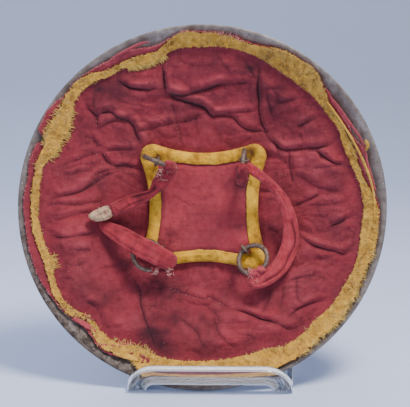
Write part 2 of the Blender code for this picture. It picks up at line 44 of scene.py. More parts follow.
fullTurn = 2 * math.pi

shieldPlace = {"lean": 15, "rimHeight": 178.548, "back": -27.238}      # degrees, then mm

plate = {
    "rimRadius": 185, "heightShare": 0.99, "domeDepth": 64, "wall": 1.7,
    "turnDepth": 4.4, "turnWidth": 4.5, "rimRound": 0.9,
    "stepsRound": 360, "innerSteps": 34, "outerSteps": 60, "curveSteps": 4,
    "dentSize": 17, "dentDepth": 0.35,                                  # the hammer's planishing marks
    "rimWave": 0.35, "waveReach": 12,
}
outerSphere = (plate["rimRadius"] ** 2 + plate["domeDepth"] ** 2) / (2 * plate["domeDepth"])
innerSphere = outerSphere - plate["wall"]
sphereSet = outerSphere - plate["domeDepth"]


# Points of the shield's frame in the scene's
def placed(points):
    points = np.asarray(points, float)
    lean = math.radians(shieldPlace["lean"])
    x, y, z = points[..., 0], points[..., 1], points[..., 2]
    back = shieldPlace["back"] + z * math.sin(lean) + y * math.cos(lean)
    up = shieldPlace["rimHeight"] + z * math.cos(lean) - y * math.sin(lean)
    return np.stack([x, back, up], -1) * metres


# Depth behind the rim of what lies a height above the steel's inner face
def depthAt(x, z, height):
    span = (innerSphere - height) ** 2 - x ** 2 - (z / plate["heightShare"]) ** 2
    return np.sqrt(np.maximum(span, 0)) - sphereSet


def seated(x, z, height):
    return np.stack([x, depthAt(x, z, height), z], -1)


def easeIn(value):
    value = np.clip(value, 0, 1)
    return value * value * (3 - 2 * value)


# Smooth random heights between -1 and 1 on a lattice of whole numbers
def lattice(i, j, k, seed):
    mixed = (i * 73856093) ^ (j * 19349663) ^ (k * 83492791) ^ (seed * 26544357)
    mixed = ((mixed ^ (mixed >> 13)) * 1274126177) & 0x7fffffff
    return ((mixed ^ (mixed >> 15)) & 0xffff) / 32767.5 - 1


def smoothNoise(x, y, z, seed):
    x, y, z = np.broadcast_arrays(*(np.asarray(v, float) for v in (x, y, z)))
    cell = [np.floor(v).astype(np.int64) for v in (x, y, z)]
    part = [easeIn(v - c) for v, c in zip((x, y, z), cell)]
    total = 0
    for corner in range(8):
        bits = (corner & 1, corner >> 1 & 1, corner >> 2)
        weight = 1
        for p, bit in zip(part, bits):
            weight = weight * (p if bit else 1 - p)
        total = total + weight * lattice(*(c + bit for c, bit in zip(cell, bits)), seed)
    return total


def creasedNoise(x, y, z, seed):
    return 1 - 2 * np.abs(smoothNoise(x, y, z, seed)) ** 0.7


# A smooth curve through rows of values, with a number of steps between each two
def smoothRun(rows, steps):
    rows = np.asarray(rows, float)
    padded = np.vstack([2 * rows[0] - rows[1], rows, 2 * rows[-1] - rows[-2]])
    out = []
    for i in range(len(rows) - 1):
        p0, p1, p2, p3 = padded[i:i + 4]
        for t in np.arange(steps) / steps:
            out.append(0.5 * (2 * p1 + (p2 - p0) * t + (2 * p0 - 5 * p1 + 4 * p2 - p3) * t ** 2
                              + (3 * p1 - p0 - 3 * p2 + p3) * t ** 3))
    out.append(rows[-1])
    return np.array(out)


def readRound(readings, angle):
    readings = np.asarray(readings, float)
    count = len(readings)
    place = np.mod(angle / fullTurn, 1) * count
    i = np.floor(place).astype(int) % count
    t = place - np.floor(place)
    p0, p1, p2, p3 = (readings[(i + k) % count] for k in (-1, 0, 1, 2))
    return 0.5 * (2 * p1 + (p2 - p0) * t + (2 * p0 - 5 * p1 + 4 * p2 - p3) * t ** 2
                  + (3 * p1 - p0 - 3 * p2 + p3) * t ** 3)


# Draws the first and the last row of a tube together, so that it ends closed
def closeEnds(grid):
    ends = [np.repeat(grid[k].mean(0)[None, None], grid.shape[1], 1) for k in (0, -1)]
    return np.concatenate([ends[0], grid, ends[1]])


# Faces of a sheet of points in rows and columns, as (face, corner, (row, column))
def gridCorners(rows, columns, wrapRows=False, wrapColumns=False):
    r = np.arange(rows if wrapRows else rows - 1)
    c = np.arange(columns if wrapColumns else columns - 1)
    i, j = (v.ravel() for v in np.meshgrid(r, c, indexing="ij"))
    return np.stack([np.stack(pair, -1) for pair in ((i, j), (i, j + 1), (i + 1, j + 1), (i + 1, j))], 1)


# One piece from grids of points: each grid is (points[rows, columns, 3], wrapRows, wrapColumns, unitsPerStep)
def makeGridPiece(name, grids, material, marks=None, local=True):
    points, faces, uvs, start = [], [], [], 0
    for grid, wrapRows, wrapColumns, unit in grids:
        rows, columns = grid.shape[:2]
        corners = gridCorners(rows, columns, wrapRows, wrapColumns)
        faces.append((corners[..., 0] % rows) * columns + corners[..., 1] % columns + start)
        uvs.append(corners[..., ::-1] * np.array(unit))
        points.append(grid.reshape(-1, 3))
        start += rows * columns
    points, faces, uvs = np.concatenate(points), np.concatenate(faces), np.concatenate(uvs)
    piece = addObject(name, placed(points) if local else points * metres, faces.tolist(), material)
    mesh = piece.data
    layer = mesh.uv_layers.new(name="along")
    layer.data.foreach_set("uv", np.asarray(uvs, np.float32).ravel())
    for mark, values in (marks or {}).items():
        attribute = mesh.attributes.new(mark, "FLOAT", "POINT")
        attribute.data.foreach_set("value", np.asarray(values, np.float32).ravel())
    mesh.validate()
    fixOutward(mesh)
    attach(piece, "root")
    return piece


def addObject(name, points, faces, material):
    mesh = bpy.data.meshes.new(name)
    mesh.from_pydata(points.tolist(), [], faces)
    mesh.shade_smooth()
    mesh.materials.append(material)
    piece = bpy.data.objects.new(name, mesh)
    bpy.context.collection.objects.link(piece)
    return piece


# Dirt and painted shade, wear and painted highlight of all the bodies of a piece, each body being (grid, soil
# and shade, wear and highlight)
def clothMarks(bodies):
    return {"soilAndShade": np.concatenate([body[1].ravel() for body in bodies]),
            "wearAndHighlight": np.concatenate([body[2].ravel() for body in bodies])}


# Sum of round stains, each (right, down, radius, strength) by its place in the photograph
def stained(px, py, stains):
    return sum(strength * np.exp(-((px - right) ** 2 + (py - down) ** 2) / radius ** 2)
               for right, down, radius, strength in stains)


# A flattened strip of cloth lying along rows of (degrees, radius, width, paleness) at the shield's edge
def stripGrid(rows, thick, lift, seed, count=10):
    rows = smoothRun(rows, 12)
    angle = np.radians(rows[:, 0])
    x, z = rows[:, 1] * np.cos(angle), rows[:, 1] * np.sin(angle) * plate["heightShare"]
    run = np.stack([x, z], -1)
    along = np.gradient(run, axis=0)
    along /= np.linalg.norm(along, axis=1)[:, None]
    side = np.stack([-along[:, 1], along[:, 0]], -1)
    turn = np.arange(count) * fullTurn / count
    share = np.linspace(0, 1, len(rows))
    narrowing = np.sqrt(np.clip(np.minimum(share, 1 - share) / 0.06, 0.02, 1))
    half = (rows[:, 2] * narrowing)[:, None] / 2 * (1 + 0.2 * smoothNoise(x / 2.4, z / 2.4, 0, seed))[:, None]
    places = run[:, None] + side[:, None] * (half * np.cos(turn))[..., None]
    bulge = 0.8 * smoothNoise(x / 6, z / 6, 0, seed + 1)[:, None] ** 2
    height = lift + thick / 2 * (1 + np.sin(turn)) + bulge
    height = height + 0.35 * smoothNoise(places[..., 0] / 1.6, places[..., 1] / 1.6, 0, seed + 2)
    grid = closeEnds(seated(places[..., 0], places[..., 1], height))
    pale = np.repeat(np.concatenate([rows[:1, 3], rows[:, 3], rows[-1:, 3]])[:, None], count, 1)
    return grid, np.clip(0.15 - 0.2 * pale, 0, 1), np.clip(pale, 0, 1)


# Turns all faces over if the closed mesh is inside out
def fixOutward(mesh):
    mesh.calc_loop_triangles()
    count = len(mesh.loop_triangles)
    corners = np.zeros(count * 3, np.int32)
    mesh.loop_triangles.foreach_get("vertices", corners)
    where = np.zeros(len(mesh.vertices) * 3)
    mesh.vertices.foreach_get("co", where)
    a, b, c = where.reshape(-1, 3)[corners.reshape(-1, 3)].transpose(1, 0, 2)
    if (a * np.cross(b, c)).sum() < 0:
        mesh.flip_normals()


def fromHex(code):
    parts = [int(code[i:i + 2], 16) / 255 for i in (1, 3, 5)]
    return (*[v / 12.92 if v <= 0.04045 else ((v + 0.055) / 1.055) ** 2.4 for v in parts], 1)


# Adds a node: inputs are values or sockets by name or place, settings are its own properties
def addNode(tree, kind, inputs=None, **settings):
    node = tree.nodes.new(kind)
    for key, value in settings.items():
        setattr(node, key, value)
    for key, value in (inputs or {}).items():
        if isinstance(value, bpy.types.NodeSocket):
            tree.links.new(value, node.inputs[key])
        else:
            node.inputs[key].default_value = value
    return node


def newMaterial(name, **sockets):
    material = bpy.data.materials.new(name)
    material.use_nodes = True
    tree = material.node_tree
    shader = tree.nodes["Principled BSDF"]
    for key, value in sockets.items():
        shader.inputs[key.replace("_", " ")].default_value = value
    return material, tree, shader


# Colour of a factor between two colours, each of them a socket, a linear colour or a hex code
def blendColour(tree, factor, first, second):
    first, second = (fromHex(colour) if isinstance(colour, str) else colour for colour in (first, second))
    return addNode(tree, "ShaderNodeMix", {0: factor, 6: first, 7: second}, data_type="RGBA").outputs[2]


def noiseFactor(tree, where, size, low, high, detail=3, rough=0.55, stretch=(1, 1, 1)):
    if stretch != (1, 1, 1):
        where = addNode(tree, "ShaderNodeMapping", {"Vector": where, "Scale": stretch}).outputs[0]
    noise = addNode(tree, "ShaderNodeTexNoise",
                    {"Vector": where, "Scale": 1 / size, "Detail": detail, "Roughness": rough})
    return addNode(tree, "ShaderNodeMapRange",
                   {"Value": noise.outputs[0], "From Min": low, "From Max": high}).outputs[0]


def calculate(tree, operation, first, second=0.0, third=0.0):
    return addNode(tree, "ShaderNodeMath", {0: first, 1: second, 2: third}, operation=operation).outputs[0]


# Camera at the photograph's place: square to the rim's plane, a little to the right of its middle
viewRig = {
    "distance": 1500, "turn": 3.4, "middleX": 201, "middleY": 207.3,
    "frameWide": 410, "frameHigh": 407, "sensor": 36,
}
viewSlant = math.tan(math.radians(viewRig["turn"]))

# Height above the steel, in mm, at which the lining's places are read off the photograph
readHeight = 9.5


def makeCamera():
    turn = math.radians(viewRig["turn"])
    lean = math.radians(shieldPlace["lean"])
    across = Vector((math.cos(turn), math.sin(turn), 0))
    back = Vector((math.sin(turn), -math.cos(turn), 0))
    up = Vector((0, 0, 1))
    aim = Vector((viewRig["frameWide"] / 2 - viewRig["middleX"], 0,
                  viewRig["middleY"] - viewRig["frameHigh"] / 2))
    eye = aim + back * viewRig["distance"]
    tilt = Matrix.Rotation(-lean, 3, "X")
    turned = Matrix([tilt @ across, tilt @ up, tilt @ back]).transposed()
    data = bpy.data.cameras.new("photo_view")
    data.sensor_fit = "HORIZONTAL"
    data.sensor_width = viewRig["sensor"]
    data.lens = viewRig["distance"] / viewRig["frameWide"] * viewRig["sensor"]
    data.clip_start, data.clip_end = 0.05, 30
    camera = bpy.data.objects.new("photo_view", data)
    bpy.context.collection.objects.link(camera)
    camera.matrix_world = Matrix.Translation(placed([tuple(eye)])[0]) @ turned.to_4x4()
    bpy.context.scene.camera = camera


# Where a point of the photograph lies on the shield, a height above the steel's inner face
def fromPhoto(px, py, height=readHeight):
    px, py = np.asarray(px, float), np.asarray(py, float)
    depth = np.full(px.shape, 30.0)
    for step in range(8):                                               # settles well before the eighth
        x, z = atDepth(px, py, depth)
        depth = depthAt(x, z, height)
    return x, z


def atDepth(px, py, depth):
    scale = viewRig["distance"] / (viewRig["distance"] + depth)
    return (px - viewRig["middleX"]) / scale - depth * viewSlant, (viewRig["middleY"] - py) / scale


# Where a place on the quilt shows in the photograph
def photoPlace(x, z, height=readHeight):
    depth = depthAt(x, z, height)
    scale = viewRig["distance"] / (viewRig["distance"] + depth)
    return viewRig["middleX"] + (x + depth * viewSlant) * scale, viewRig["middleY"] - z * scale


studio = {
    # The wall's colour is darker than the floor's: painted shade, as the light falls off towards the back of
    # one and the same paper.
    "floor": "#cddaf8", "wall": "#98a4be", "sky": "#c6d2e8", "skyPower": 0.6,
    "sweepStart": 0.75, "sweepRadius": 0.7, "wallTop": 3.2, "halfWidth": 3.5, "front": -3.0,
    "key": {"place": (0.6, -0.55, 1.8), "size": 0.5, "power": 45, "colour": "#fff4ea"},
    "fill": {"place": (-1.3, -1.7, 1.1), "size": 1.8, "power": 15, "colour": "#eef2ff"},
    "back": {"place": (-0.75, 0.7, 1.3), "size": 1.2, "power": 14, "colour": "#f4f6ff"},
}


def makeStudio():
    profile = [(studio["front"], 0.0)]
    for i in range(17):
        angle = math.pi / 2 * i / 16
        profile.append((studio["sweepStart"] + studio["sweepRadius"] * math.sin(angle),
                        studio["sweepRadius"] * (1 - math.cos(angle))))
    profile.append((profile[-1][0], studio["wallTop"]))
    rows = [[(side * studio["halfWidth"], y, z) for y, z in profile] for side in (-1, 1)]
    material, tree, shader = newMaterial("matt seamless backdrop paper", Roughness=0.9)
    where = addNode(tree, "ShaderNodeTexCoord").outputs["Object"]
    tone = noiseFactor(tree, where, 0.35, 0.3, 0.7)
    split = addNode(tree, "ShaderNodeSeparateXYZ", {0: where})
    # Painted shade: the paper's colour goes from the floor's to the darker wall's towards the back.
    shadeToBack = addNode(tree, "ShaderNodeMapRange", {"Value": split.outputs[1], "From Min": 0.1,
                                                  "From Max": 1.1}).outputs[0]
    paper = blendColour(tree, shadeToBack, studio["floor"], studio["wall"])
    darker = blendColour(tree, 0.04, paper, (0, 0, 0, 1))
    tree.links.new(blendColour(tree, tone, darker, paper), shader.inputs["Base Color"])
    count = len(profile)
    faces = [(i, i + 1, count + i + 1, count + i) for i in range(count - 1)]
    addObject("backdrop", np.reshape(rows, (-1, 3)), faces, material)
    world = bpy.data.worlds.new("studio air")
    world.use_nodes = True
    air = world.node_tree.nodes["Background"]
    air.inputs[0].default_value = fromHex(studio["sky"])
    air.inputs[1].default_value = studio["skyPower"]
    bpy.context.scene.world = world
    for name in ("key", "fill", "back"):
        lamp = studio[name]
        data = bpy.data.lights.new(name + " softbox", "AREA")
        data.energy, data.size, data.color = lamp["power"], lamp["size"], fromHex(lamp["colour"])[:3]
        light = bpy.data.objects.new(name + " softbox", data)
        bpy.context.collection.objects.link(light)
        light.location = lamp["place"]
        light.rotation_euler = (Vector((0, 0, 0.17)) - light.location).to_track_quat("-Z", "Y").to_euler()


# Aged steel, forged and planished: dark grey with brown rust, pale scuffs and a duller, rougher skin
steelLooks = {
    "grey": ("#7a6f6a", "#a9a19c"), "mottle": "#5f4f45", "rust": ("#2f2622", "#584940"), "scuff": "#c9c6bf",
    "roughness": (0.5, 0.85), "metallic": (0.75, 0.1),                  # bright steel, then rust
}


def makeSteel():
    material, tree, shader = newMaterial("forged steel, aged and spotted with rust", Metallic=0.85)
    where = addNode(tree, "ShaderNodeTexCoord").outputs["Object"]
    tone = noiseFactor(tree, where, 0.03, 0.3, 0.7, 4)
    grey = blendColour(tree, tone, *steelLooks["grey"])
    mottle = noiseFactor(tree, where, 0.007, 0.4, 0.64, 5, 0.65)
    grey = blendColour(tree, calculate(tree, "MULTIPLY", mottle, 0.6), grey, steelLooks["mottle"])
    split = addNode(tree, "ShaderNodeSeparateXYZ", {0: where})
    low = addNode(tree, "ShaderNodeMapRange", {"Value": split.outputs[2], "From Min": 0.24,
                                              "From Max": 0.02}).outputs[0]
    left = addNode(tree, "ShaderNodeMapRange", {"Value": split.outputs[0], "From Min": 0.08,
                                                "From Max": -0.16}).outputs[0]
    spots = noiseFactor(tree, where, 0.009, 0.42, 0.62, 6, 0.7)
    stained = calculate(tree, "MULTIPLY", low, left)
    corner = calculate(tree, "MULTIPLY_ADD", stained, 0.75, 0.3)
    rust = calculate(tree, "MULTIPLY_ADD", stained, 0.55, calculate(tree, "MULTIPLY", spots, corner))
    brown = blendColour(tree, noiseFactor(tree, where, 0.004, 0.35, 0.65), *steelLooks["rust"])
    skin = blendColour(tree, rust, grey, brown)
    scuffs = noiseFactor(tree, where, 0.0035, 0.70, 0.74, 2)
    skin = blendColour(tree, scuffs, skin, steelLooks["scuff"])
    tree.links.new(skin, shader.inputs["Base Color"])
    for look, socket in (("roughness", "Roughness"), ("metallic", "Metallic")):
        bright, rusty = steelLooks[look]
        value = addNode(tree, "ShaderNodeMapRange", {"Value": rust, "To Min": bright, "To Max": rusty})
        tree.links.new(value.outputs[0], shader.inputs[socket])
    pits = noiseFactor(tree, where, 0.0016, 0.3, 0.7, 5, 0.7)
    scratches = noiseFactor(tree, where, 0.004, 0.45, 0.6, 3, 0.5, (1, 1, 9))
    relief = calculate(tree, "MULTIPLY_ADD", scratches, 0.4, pits)
    bump = addNode(tree, "ShaderNodeBump", {"Strength": 0.35, "Distance": 0.0004, "Height": relief})
    tree.links.new(bump.outputs[0], shader.inputs["Normal"])
    return material


# Forged iron wire: brown-grey, matt with thin rust and a few rubbed bright places
ironLooks = {"wire": ("#5c4b43", "#8d7c72"), "rust": "#5e3f30"}


def makeIron():
    material, tree, shader = newMaterial("forged iron wire, browned with rust", Metallic=0.6, Roughness=0.62)
    where = addNode(tree, "ShaderNodeTexCoord").outputs["Object"]
    tone = noiseFactor(tree, where, 0.004, 0.35, 0.65, 5, 0.65)
    skin = blendColour(tree, tone, *ironLooks["wire"])
    rust = noiseFactor(tree, where, 0.0022, 0.52, 0.64, 5, 0.7)
    skin = blendColour(tree, rust, skin, ironLooks["rust"])
    tree.links.new(skin, shader.inputs["Base Color"])
    pits = noiseFactor(tree, where, 0.0009, 0.3, 0.7, 4, 0.7)
    bump = addNode(tree, "ShaderNodeBump", {"Strength": 0.5, "Distance": 0.0003, "Height": pits})
    tree.links.new(bump.outputs[0], shader.inputs["Normal"])
    return material


# Dyed cotton cloth, handwoven: matt, with a soft bloom of worn fibres, faded ridges with painted highlight,
# dirt and painted shade in the folds.
# Its threads, 0.5 mm apart, are too fine to show, so the weave is drawn with threads 1.0 to 1.5 mm apart.
cottonLooks = {
    "quilt": {"name": "handwoven red cotton, faded and soiled", "dye": "#8c2a36", "pale": "#b24b55",
              "dark": "#3f1924", "bloom": 0.15, "thread": 1.3, "crumple": 0.5, "cloudy": 0.6, "fine": 0.4},
    "cushion": {"name": "handwoven red cotton of the cushion", "dye": "#a83540", "pale": "#c8585f",
                "dark": "#52202a", "bloom": 0.2, "thread": 1.3, "crumple": 0.35, "cloudy": 0.5, "fine": 0.4},
    "strap": {"name": "tubular red cotton strap cloth", "dye": "#a82e39", "pale": "#c9545c",
              "dark": "#4c151f", "bloom": 0.12, "thread": 1.1, "crumple": 0.5, "cloudy": 0.45, "fine": 0.4},
    "ribbon": {"name": "openwork yellow cotton ribbon", "dye": "#cd9222", "pale": "#ecbc56",
               "dark": "#7c5428", "bloom": 0.1, "thread": 1.5, "crumple": 0.9, "cloudy": 0.5, "fine": 0.75},
    "binding": {"name": "yellow twilled cotton binding", "dye": "#eba822", "pale": "#fccb42",
                "dark": "#7a5020", "bloom": 0.08, "thread": 1.2, "crumple": 0.8, "cloudy": 0.3, "fine": 0.5},
    "raw": {"name": "raw cotton wadding", "dye": "#cf9c74", "pale": "#f6dcb8",
            "dark": "#76543e", "bloom": 0.15, "thread": 1.0, "crumple": 1.6, "cloudy": 0.6, "fine": 0.7},
}


def makeCotton(look, alongCloth=False):
    facts = cottonLooks[look]
    material, tree, shader = newMaterial(facts["name"], Roughness=0.92, Sheen_Weight=facts["bloom"],
                                         Sheen_Roughness=0.45, Specular_IOR_Level=0.25)
    places = addNode(tree, "ShaderNodeTexCoord")
    where = places.outputs["Object"]
    # The soil mark darkens with real dirt and with painted shade, the wear mark pales with real wear and with
    # painted highlight.
    soilAndShade = addNode(tree, "ShaderNodeAttribute", attribute_name="soilAndShade").outputs["Fac"]
    wearAndHighlight = addNode(tree, "ShaderNodeAttribute", attribute_name="wearAndHighlight").outputs["Fac"]
    cloudy = noiseFactor(tree, where, 0.028, 0.32, 0.68, 4, 0.6)
    fine = noiseFactor(tree, where, 0.005, 0.3, 0.7, 4, 0.65)
    dark, pale = facts["dark"], facts["pale"]
    colour = blendColour(tree, calculate(tree, "MULTIPLY", cloudy, facts["cloudy"]), facts["dye"], dark)
    colour = blendColour(tree, calculate(tree, "MULTIPLY", fine, facts["fine"]), colour, pale)
    colour = blendColour(tree, wearAndHighlight, colour, pale)
    colour = blendColour(tree, soilAndShade, colour, dark)
    folded = addNode(tree, "ShaderNodeMapping", {"Vector": where, "Scale": (1, 1, 1.7)}).outputs[0]
    cloud = addNode(tree, "ShaderNodeTexNoise", {"Vector": folded, "Scale": 1 / 0.021, "Detail": 4,
                                                 "Roughness": 0.62}).outputs[0]
    fromLine = calculate(tree, "ABSOLUTE", calculate(tree, "SUBTRACT", cloud, 0.5))
    hairline = addNode(tree, "ShaderNodeMapRange", {"Value": fromLine, "From Min": 0.012,
                                                    "From Max": 0.0}).outputs[0]
    shown = noiseFactor(tree, where, 0.03, 0.48, 0.6, 2)
    hairline = calculate(tree, "MULTIPLY", hairline, shown)
    # Painted shade: the hairline creases are darkened in the colour as well as dented in the relief.
    colour = blendColour(tree, calculate(tree, "MULTIPLY", hairline, 0.55), colour, dark)
    thread = facts["thread"] * metres
    weaveAt = where
    directions = ("X", "Z")
    if alongCloth:
        weaveAt = places.outputs["UV"]
        directions = ("X", "Y")
    bands = [addNode(tree, "ShaderNodeTexWave", {"Vector": weaveAt, "Scale": fullTurn / 20 / thread,
                                                 "Distortion": 1.2, "Detail": 1, "Detail Scale": 0.6},
                     bands_direction=direction).outputs["Fac"] for direction in directions]
    weave = calculate(tree, "MULTIPLY", bands[0], bands[1])
    colour = blendColour(tree, calculate(tree, "MULTIPLY", weave, 0.25), colour, dark)
    tree.links.new(colour, shader.inputs["Base Color"])
    crumple = noiseFactor(tree, where, 0.0045, 0.3, 0.7, 4, 0.6)
    relief = calculate(tree, "MULTIPLY_ADD", crumple, 3.0 * facts["crumple"], weave)
    relief = calculate(tree, "MULTIPLY_ADD", hairline, -2.5, relief)
    bump = addNode(tree, "ShaderNodeBump", {"Strength": 0.55, "Distance": 0.0006, "Height": relief})
    tree.links.new(bump.outputs[0], shader.inputs["Normal"])
    return material


def makeThreadMaterial(name, code):
    material, tree, shader = newMaterial(name, Roughness=0.9, Sheen_Weight=0.3, Specular_IOR_Level=0.2)
    where = addNode(tree, "ShaderNodeTexCoord").outputs["Object"]
    tone = noiseFactor(tree, where, 0.006, 0.35, 0.65, 3)
    base = fromHex(code)
    darker = tuple(c * 0.55 for c in base[:3]) + (1,)
    tree.links.new(blendColour(tree, tone, darker, base), shader.inputs["Base Color"])
    return material


# Cast acrylic sheet, cut and flame-polished: clear, with a faint cool tint and a hard gloss
acrylicLooks = {"clear": "#f4f8fc", "sawn": ("#e6eaf2", "#ffffff"), "ior": 1.49}


def makeAcrylic():
    material, tree, shader = newMaterial("cast acrylic, flame-polished", Roughness=0.03,
                                         IOR=acrylicLooks["ior"], Transmission_Weight=1.0)
    shader.inputs["Base Color"].default_value = fromHex(acrylicLooks["clear"])
    where = addNode(tree, "ShaderNodeTexCoord").outputs["Object"]
    scuffs = noiseFactor(tree, where, 0.002, 0.60, 0.72, 4, 0.6, (1, 1, 4))
    rough = addNode(tree, "ShaderNodeMapRange", {"Value": scuffs, "To Min": 0.02, "To Max": 0.16}).outputs[0]
    tree.links.new(rough, shader.inputs["Roughness"])
    return material


# The sheet's sawn and scraped edges: milky and half matt, they catch the light all along
def makeSawnAcrylic():
    material, tree, shader = newMaterial("cast acrylic, sawn and scraped edge", Roughness=0.35,
                                         IOR=acrylicLooks["ior"], Transmission_Weight=0.08)
    where = addNode(tree, "ShaderNodeTexCoord").outputs["Object"]
    marks = noiseFactor(tree, where, 0.0016, 0.35, 0.65, 4, 0.6, (0.3, 1, 1))
    tree.links.new(blendColour(tree, marks, *acrylicLooks["sawn"]), shader.inputs["Base Color"])
    bump = addNode(tree, "ShaderNodeBump", {"Strength": 0.25, "Distance": 0.0002, "Height": marks})
    tree.links.new(bump.outputs[0], shader.inputs["Normal"])
    return material


# The plate: a true wall with a turned edge, planished all over and slightly wavy at the rim
def makeBowl(material):
    count = plate["stepsRound"]
    angle = np.arange(count) * fullTurn / count
    innerRim = math.sqrt(innerSphere ** 2 - sphereSet ** 2)
    turnStart = math.sqrt(outerSphere ** 2 - (sphereSet + plate["turnDepth"]) ** 2)
    rim, curve = plate["rimRadius"], plate["rimRound"]
    inner = innerRim * np.linspace(0.02, 1, plate["innerSteps"]) ** 0.8
    outer = turnStart * np.linspace(1, 0.02, plate["outerSteps"]) ** 0.9
    profile = [(r, math.sqrt(innerSphere ** 2 - r ** 2) - sphereSet) for r in inner]
    turns = [math.pi / 2 * i / plate["curveSteps"] for i in range(plate["curveSteps"] + 1)]
    profile += [(rim - curve + curve * math.sin(turn), curve * (1 - math.cos(turn))) for turn in turns]
    turnDepth = plate["turnDepth"]
    profile += [(rim - curve + curve * math.cos(turn), turnDepth - curve * (1 - math.sin(turn)))
                for turn in turns]
    profile.append((rim - plate["turnWidth"], turnDepth + curve / 2))
    profile += [(r, math.sqrt(outerSphere ** 2 - r ** 2) - sphereSet) for r in outer]
    profile = np.array(profile)
    radius = profile[:, :1] + 0 * angle
    depth = profile[:, 1:] + 0 * angle
    x, z = radius * np.cos(angle), radius * np.sin(angle) * plate["heightShare"]
    size = plate["dentSize"]
    dents = creasedNoise(x / size, z / size, 0, 5) * plate["dentDepth"]
    isOuter = (np.arange(len(profile)) > len(inner) + 2 * len(turns))[:, None]
    edge = smoothNoise(np.cos(angle) * 7, np.sin(angle) * 7, 0, 8) * plate["rimWave"]
    depth = depth - np.where(isOuter, 0.3 + dents, 0.05 * dents)
    nearRim = easeIn((radius - rim + plate["waveReach"]) / plate["waveReach"])
    x = x + np.cos(angle) * edge * nearRim * (radius < rim - 0.5)
    z = z + np.sin(angle) * edge * nearRim * (radius < rim - 0.5)
    grid = np.stack([x, depth, z], -1)
    piece = makeGridPiece("steel_plate", [(grid, False, True, (1, 1))], material)
    closePoles(piece, [0, len(profile) - 1], count)
    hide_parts("steel_bowl")


# Closes the small round holes that the first and last rows of a turned body leave
def closePoles(piece, rows, columns):
    shape = bmesh.new()
    shape.from_mesh(piece.data)
    shape.verts.ensure_lookup_table()
    rings = [[shape.verts[row * columns + j] for j in range(columns)] for row in rows]
    for ring in rings:
        middle = shape.verts.new(sum((v.co for v in ring), Vector()) / columns)
        for j in range(columns):
            shape.faces.new((ring[j], ring[(j + 1) % columns], middle))
    bmesh.ops.recalc_face_normals(shape, faces=shape.faces)
    for face in shape.faces:
        face.smooth = True
    shape.to_mesh(piece.data)
    shape.free()


# Round the edge, every 5 degrees counterclockwise from the right, in mm from the shield's middle
edgeReadings = {
    "ribbonOuter": [176, 171, 165, 163, 163, 163, 163.5, 163.5, 166, 172, 178, 178.5, 178, 176.5, 172.5,
                    172, 175, 176, 176, 178, 173.5, 165.5, 166, 167, 167.5, 169, 175.5, 178, 177.5, 173.5,
                    173.5, 173, 170.5, 172.5, 171.5, 172, 171.5, 172, 171, 169.5, 169, 170.5, 173, 173.5,
                    171, 163, 169, 174, 170, 170, 176, 171, 171, 172, 173, 174, 175, 176, 177, 178.5, 178.5,
                    178.5, 176.5, 177.5, 178, 177, 177, 175, 174.5, 177.5, 177.5, 177],
    "ribbonInner": [162, 161, 159.5, 156.5, 155.5, 155.5, 158.5, 157.5, 158, 158.5, 158, 158, 158.5, 160.5,
                    162.5, 163.5, 164, 164, 163, 163, 162.5, 158, 156.5, 159, 162.5, 162.5, 167, 168.5, 167,
                    161.5, 157, 157.5, 159, 165, 165.5, 165, 165, 165.5, 164, 163, 159.5, 165, 167, 168,
                    164.5, 158.5, 161.5, 163, 161.5, 156.5, 157.5, 158.5, 158, 157.5, 157, 156.5, 156.5,
                    157, 157.5, 158.5, 163, 163.5, 163, 161, 163, 163.5, 163.5, 164, 164.5, 163, 161.5,
                    161.5],
    "liningOuter": [177, 173.5, 169.5, 168, 172, 168, 169.5, 169.5, 171.5, 173.5, 178.5, 179, 178.5, 177.5,
                    174.5, 174, 176.5, 177, 177.5, 179, 175, 171, 172, 175.5, 175.5, 176.5, 178.5, 179,
                    178.5, 182, 182.5, 181.5, 179, 179, 178, 179, 179.5, 178.5, 178.5, 179, 179, 178.5, 177,
                    176, 174, 171.5, 172.5, 176, 174.5, 171.5, 177, 172.5, 172.5, 173.5, 174.5, 175.5,
                    176.5, 177.5, 178, 179, 179, 179, 177.5, 178, 178.5, 178, 178, 177.5, 176, 178, 178, 178],
    "nick": {"at": 156.7, "wide": 1.3, "deep": 10},                     # the torn gap at the left
}

quilt = {
    "fit": 0.5, "thick": 9, "edge": 2.2, "taper": 0.13,
    "columns": 700, "rows": 115,
    "puffSize": 44, "puff": 2.0, "wrinkleSize": 21, "wrinkle": 1.25, "crinkleSize": 8, "crinkle": 0.6,
    "creaseWidth": 0.42, "shoulderWidth": 2.0, "creaseShadeWidth": 0.38, "swellGain": 1.9,
}

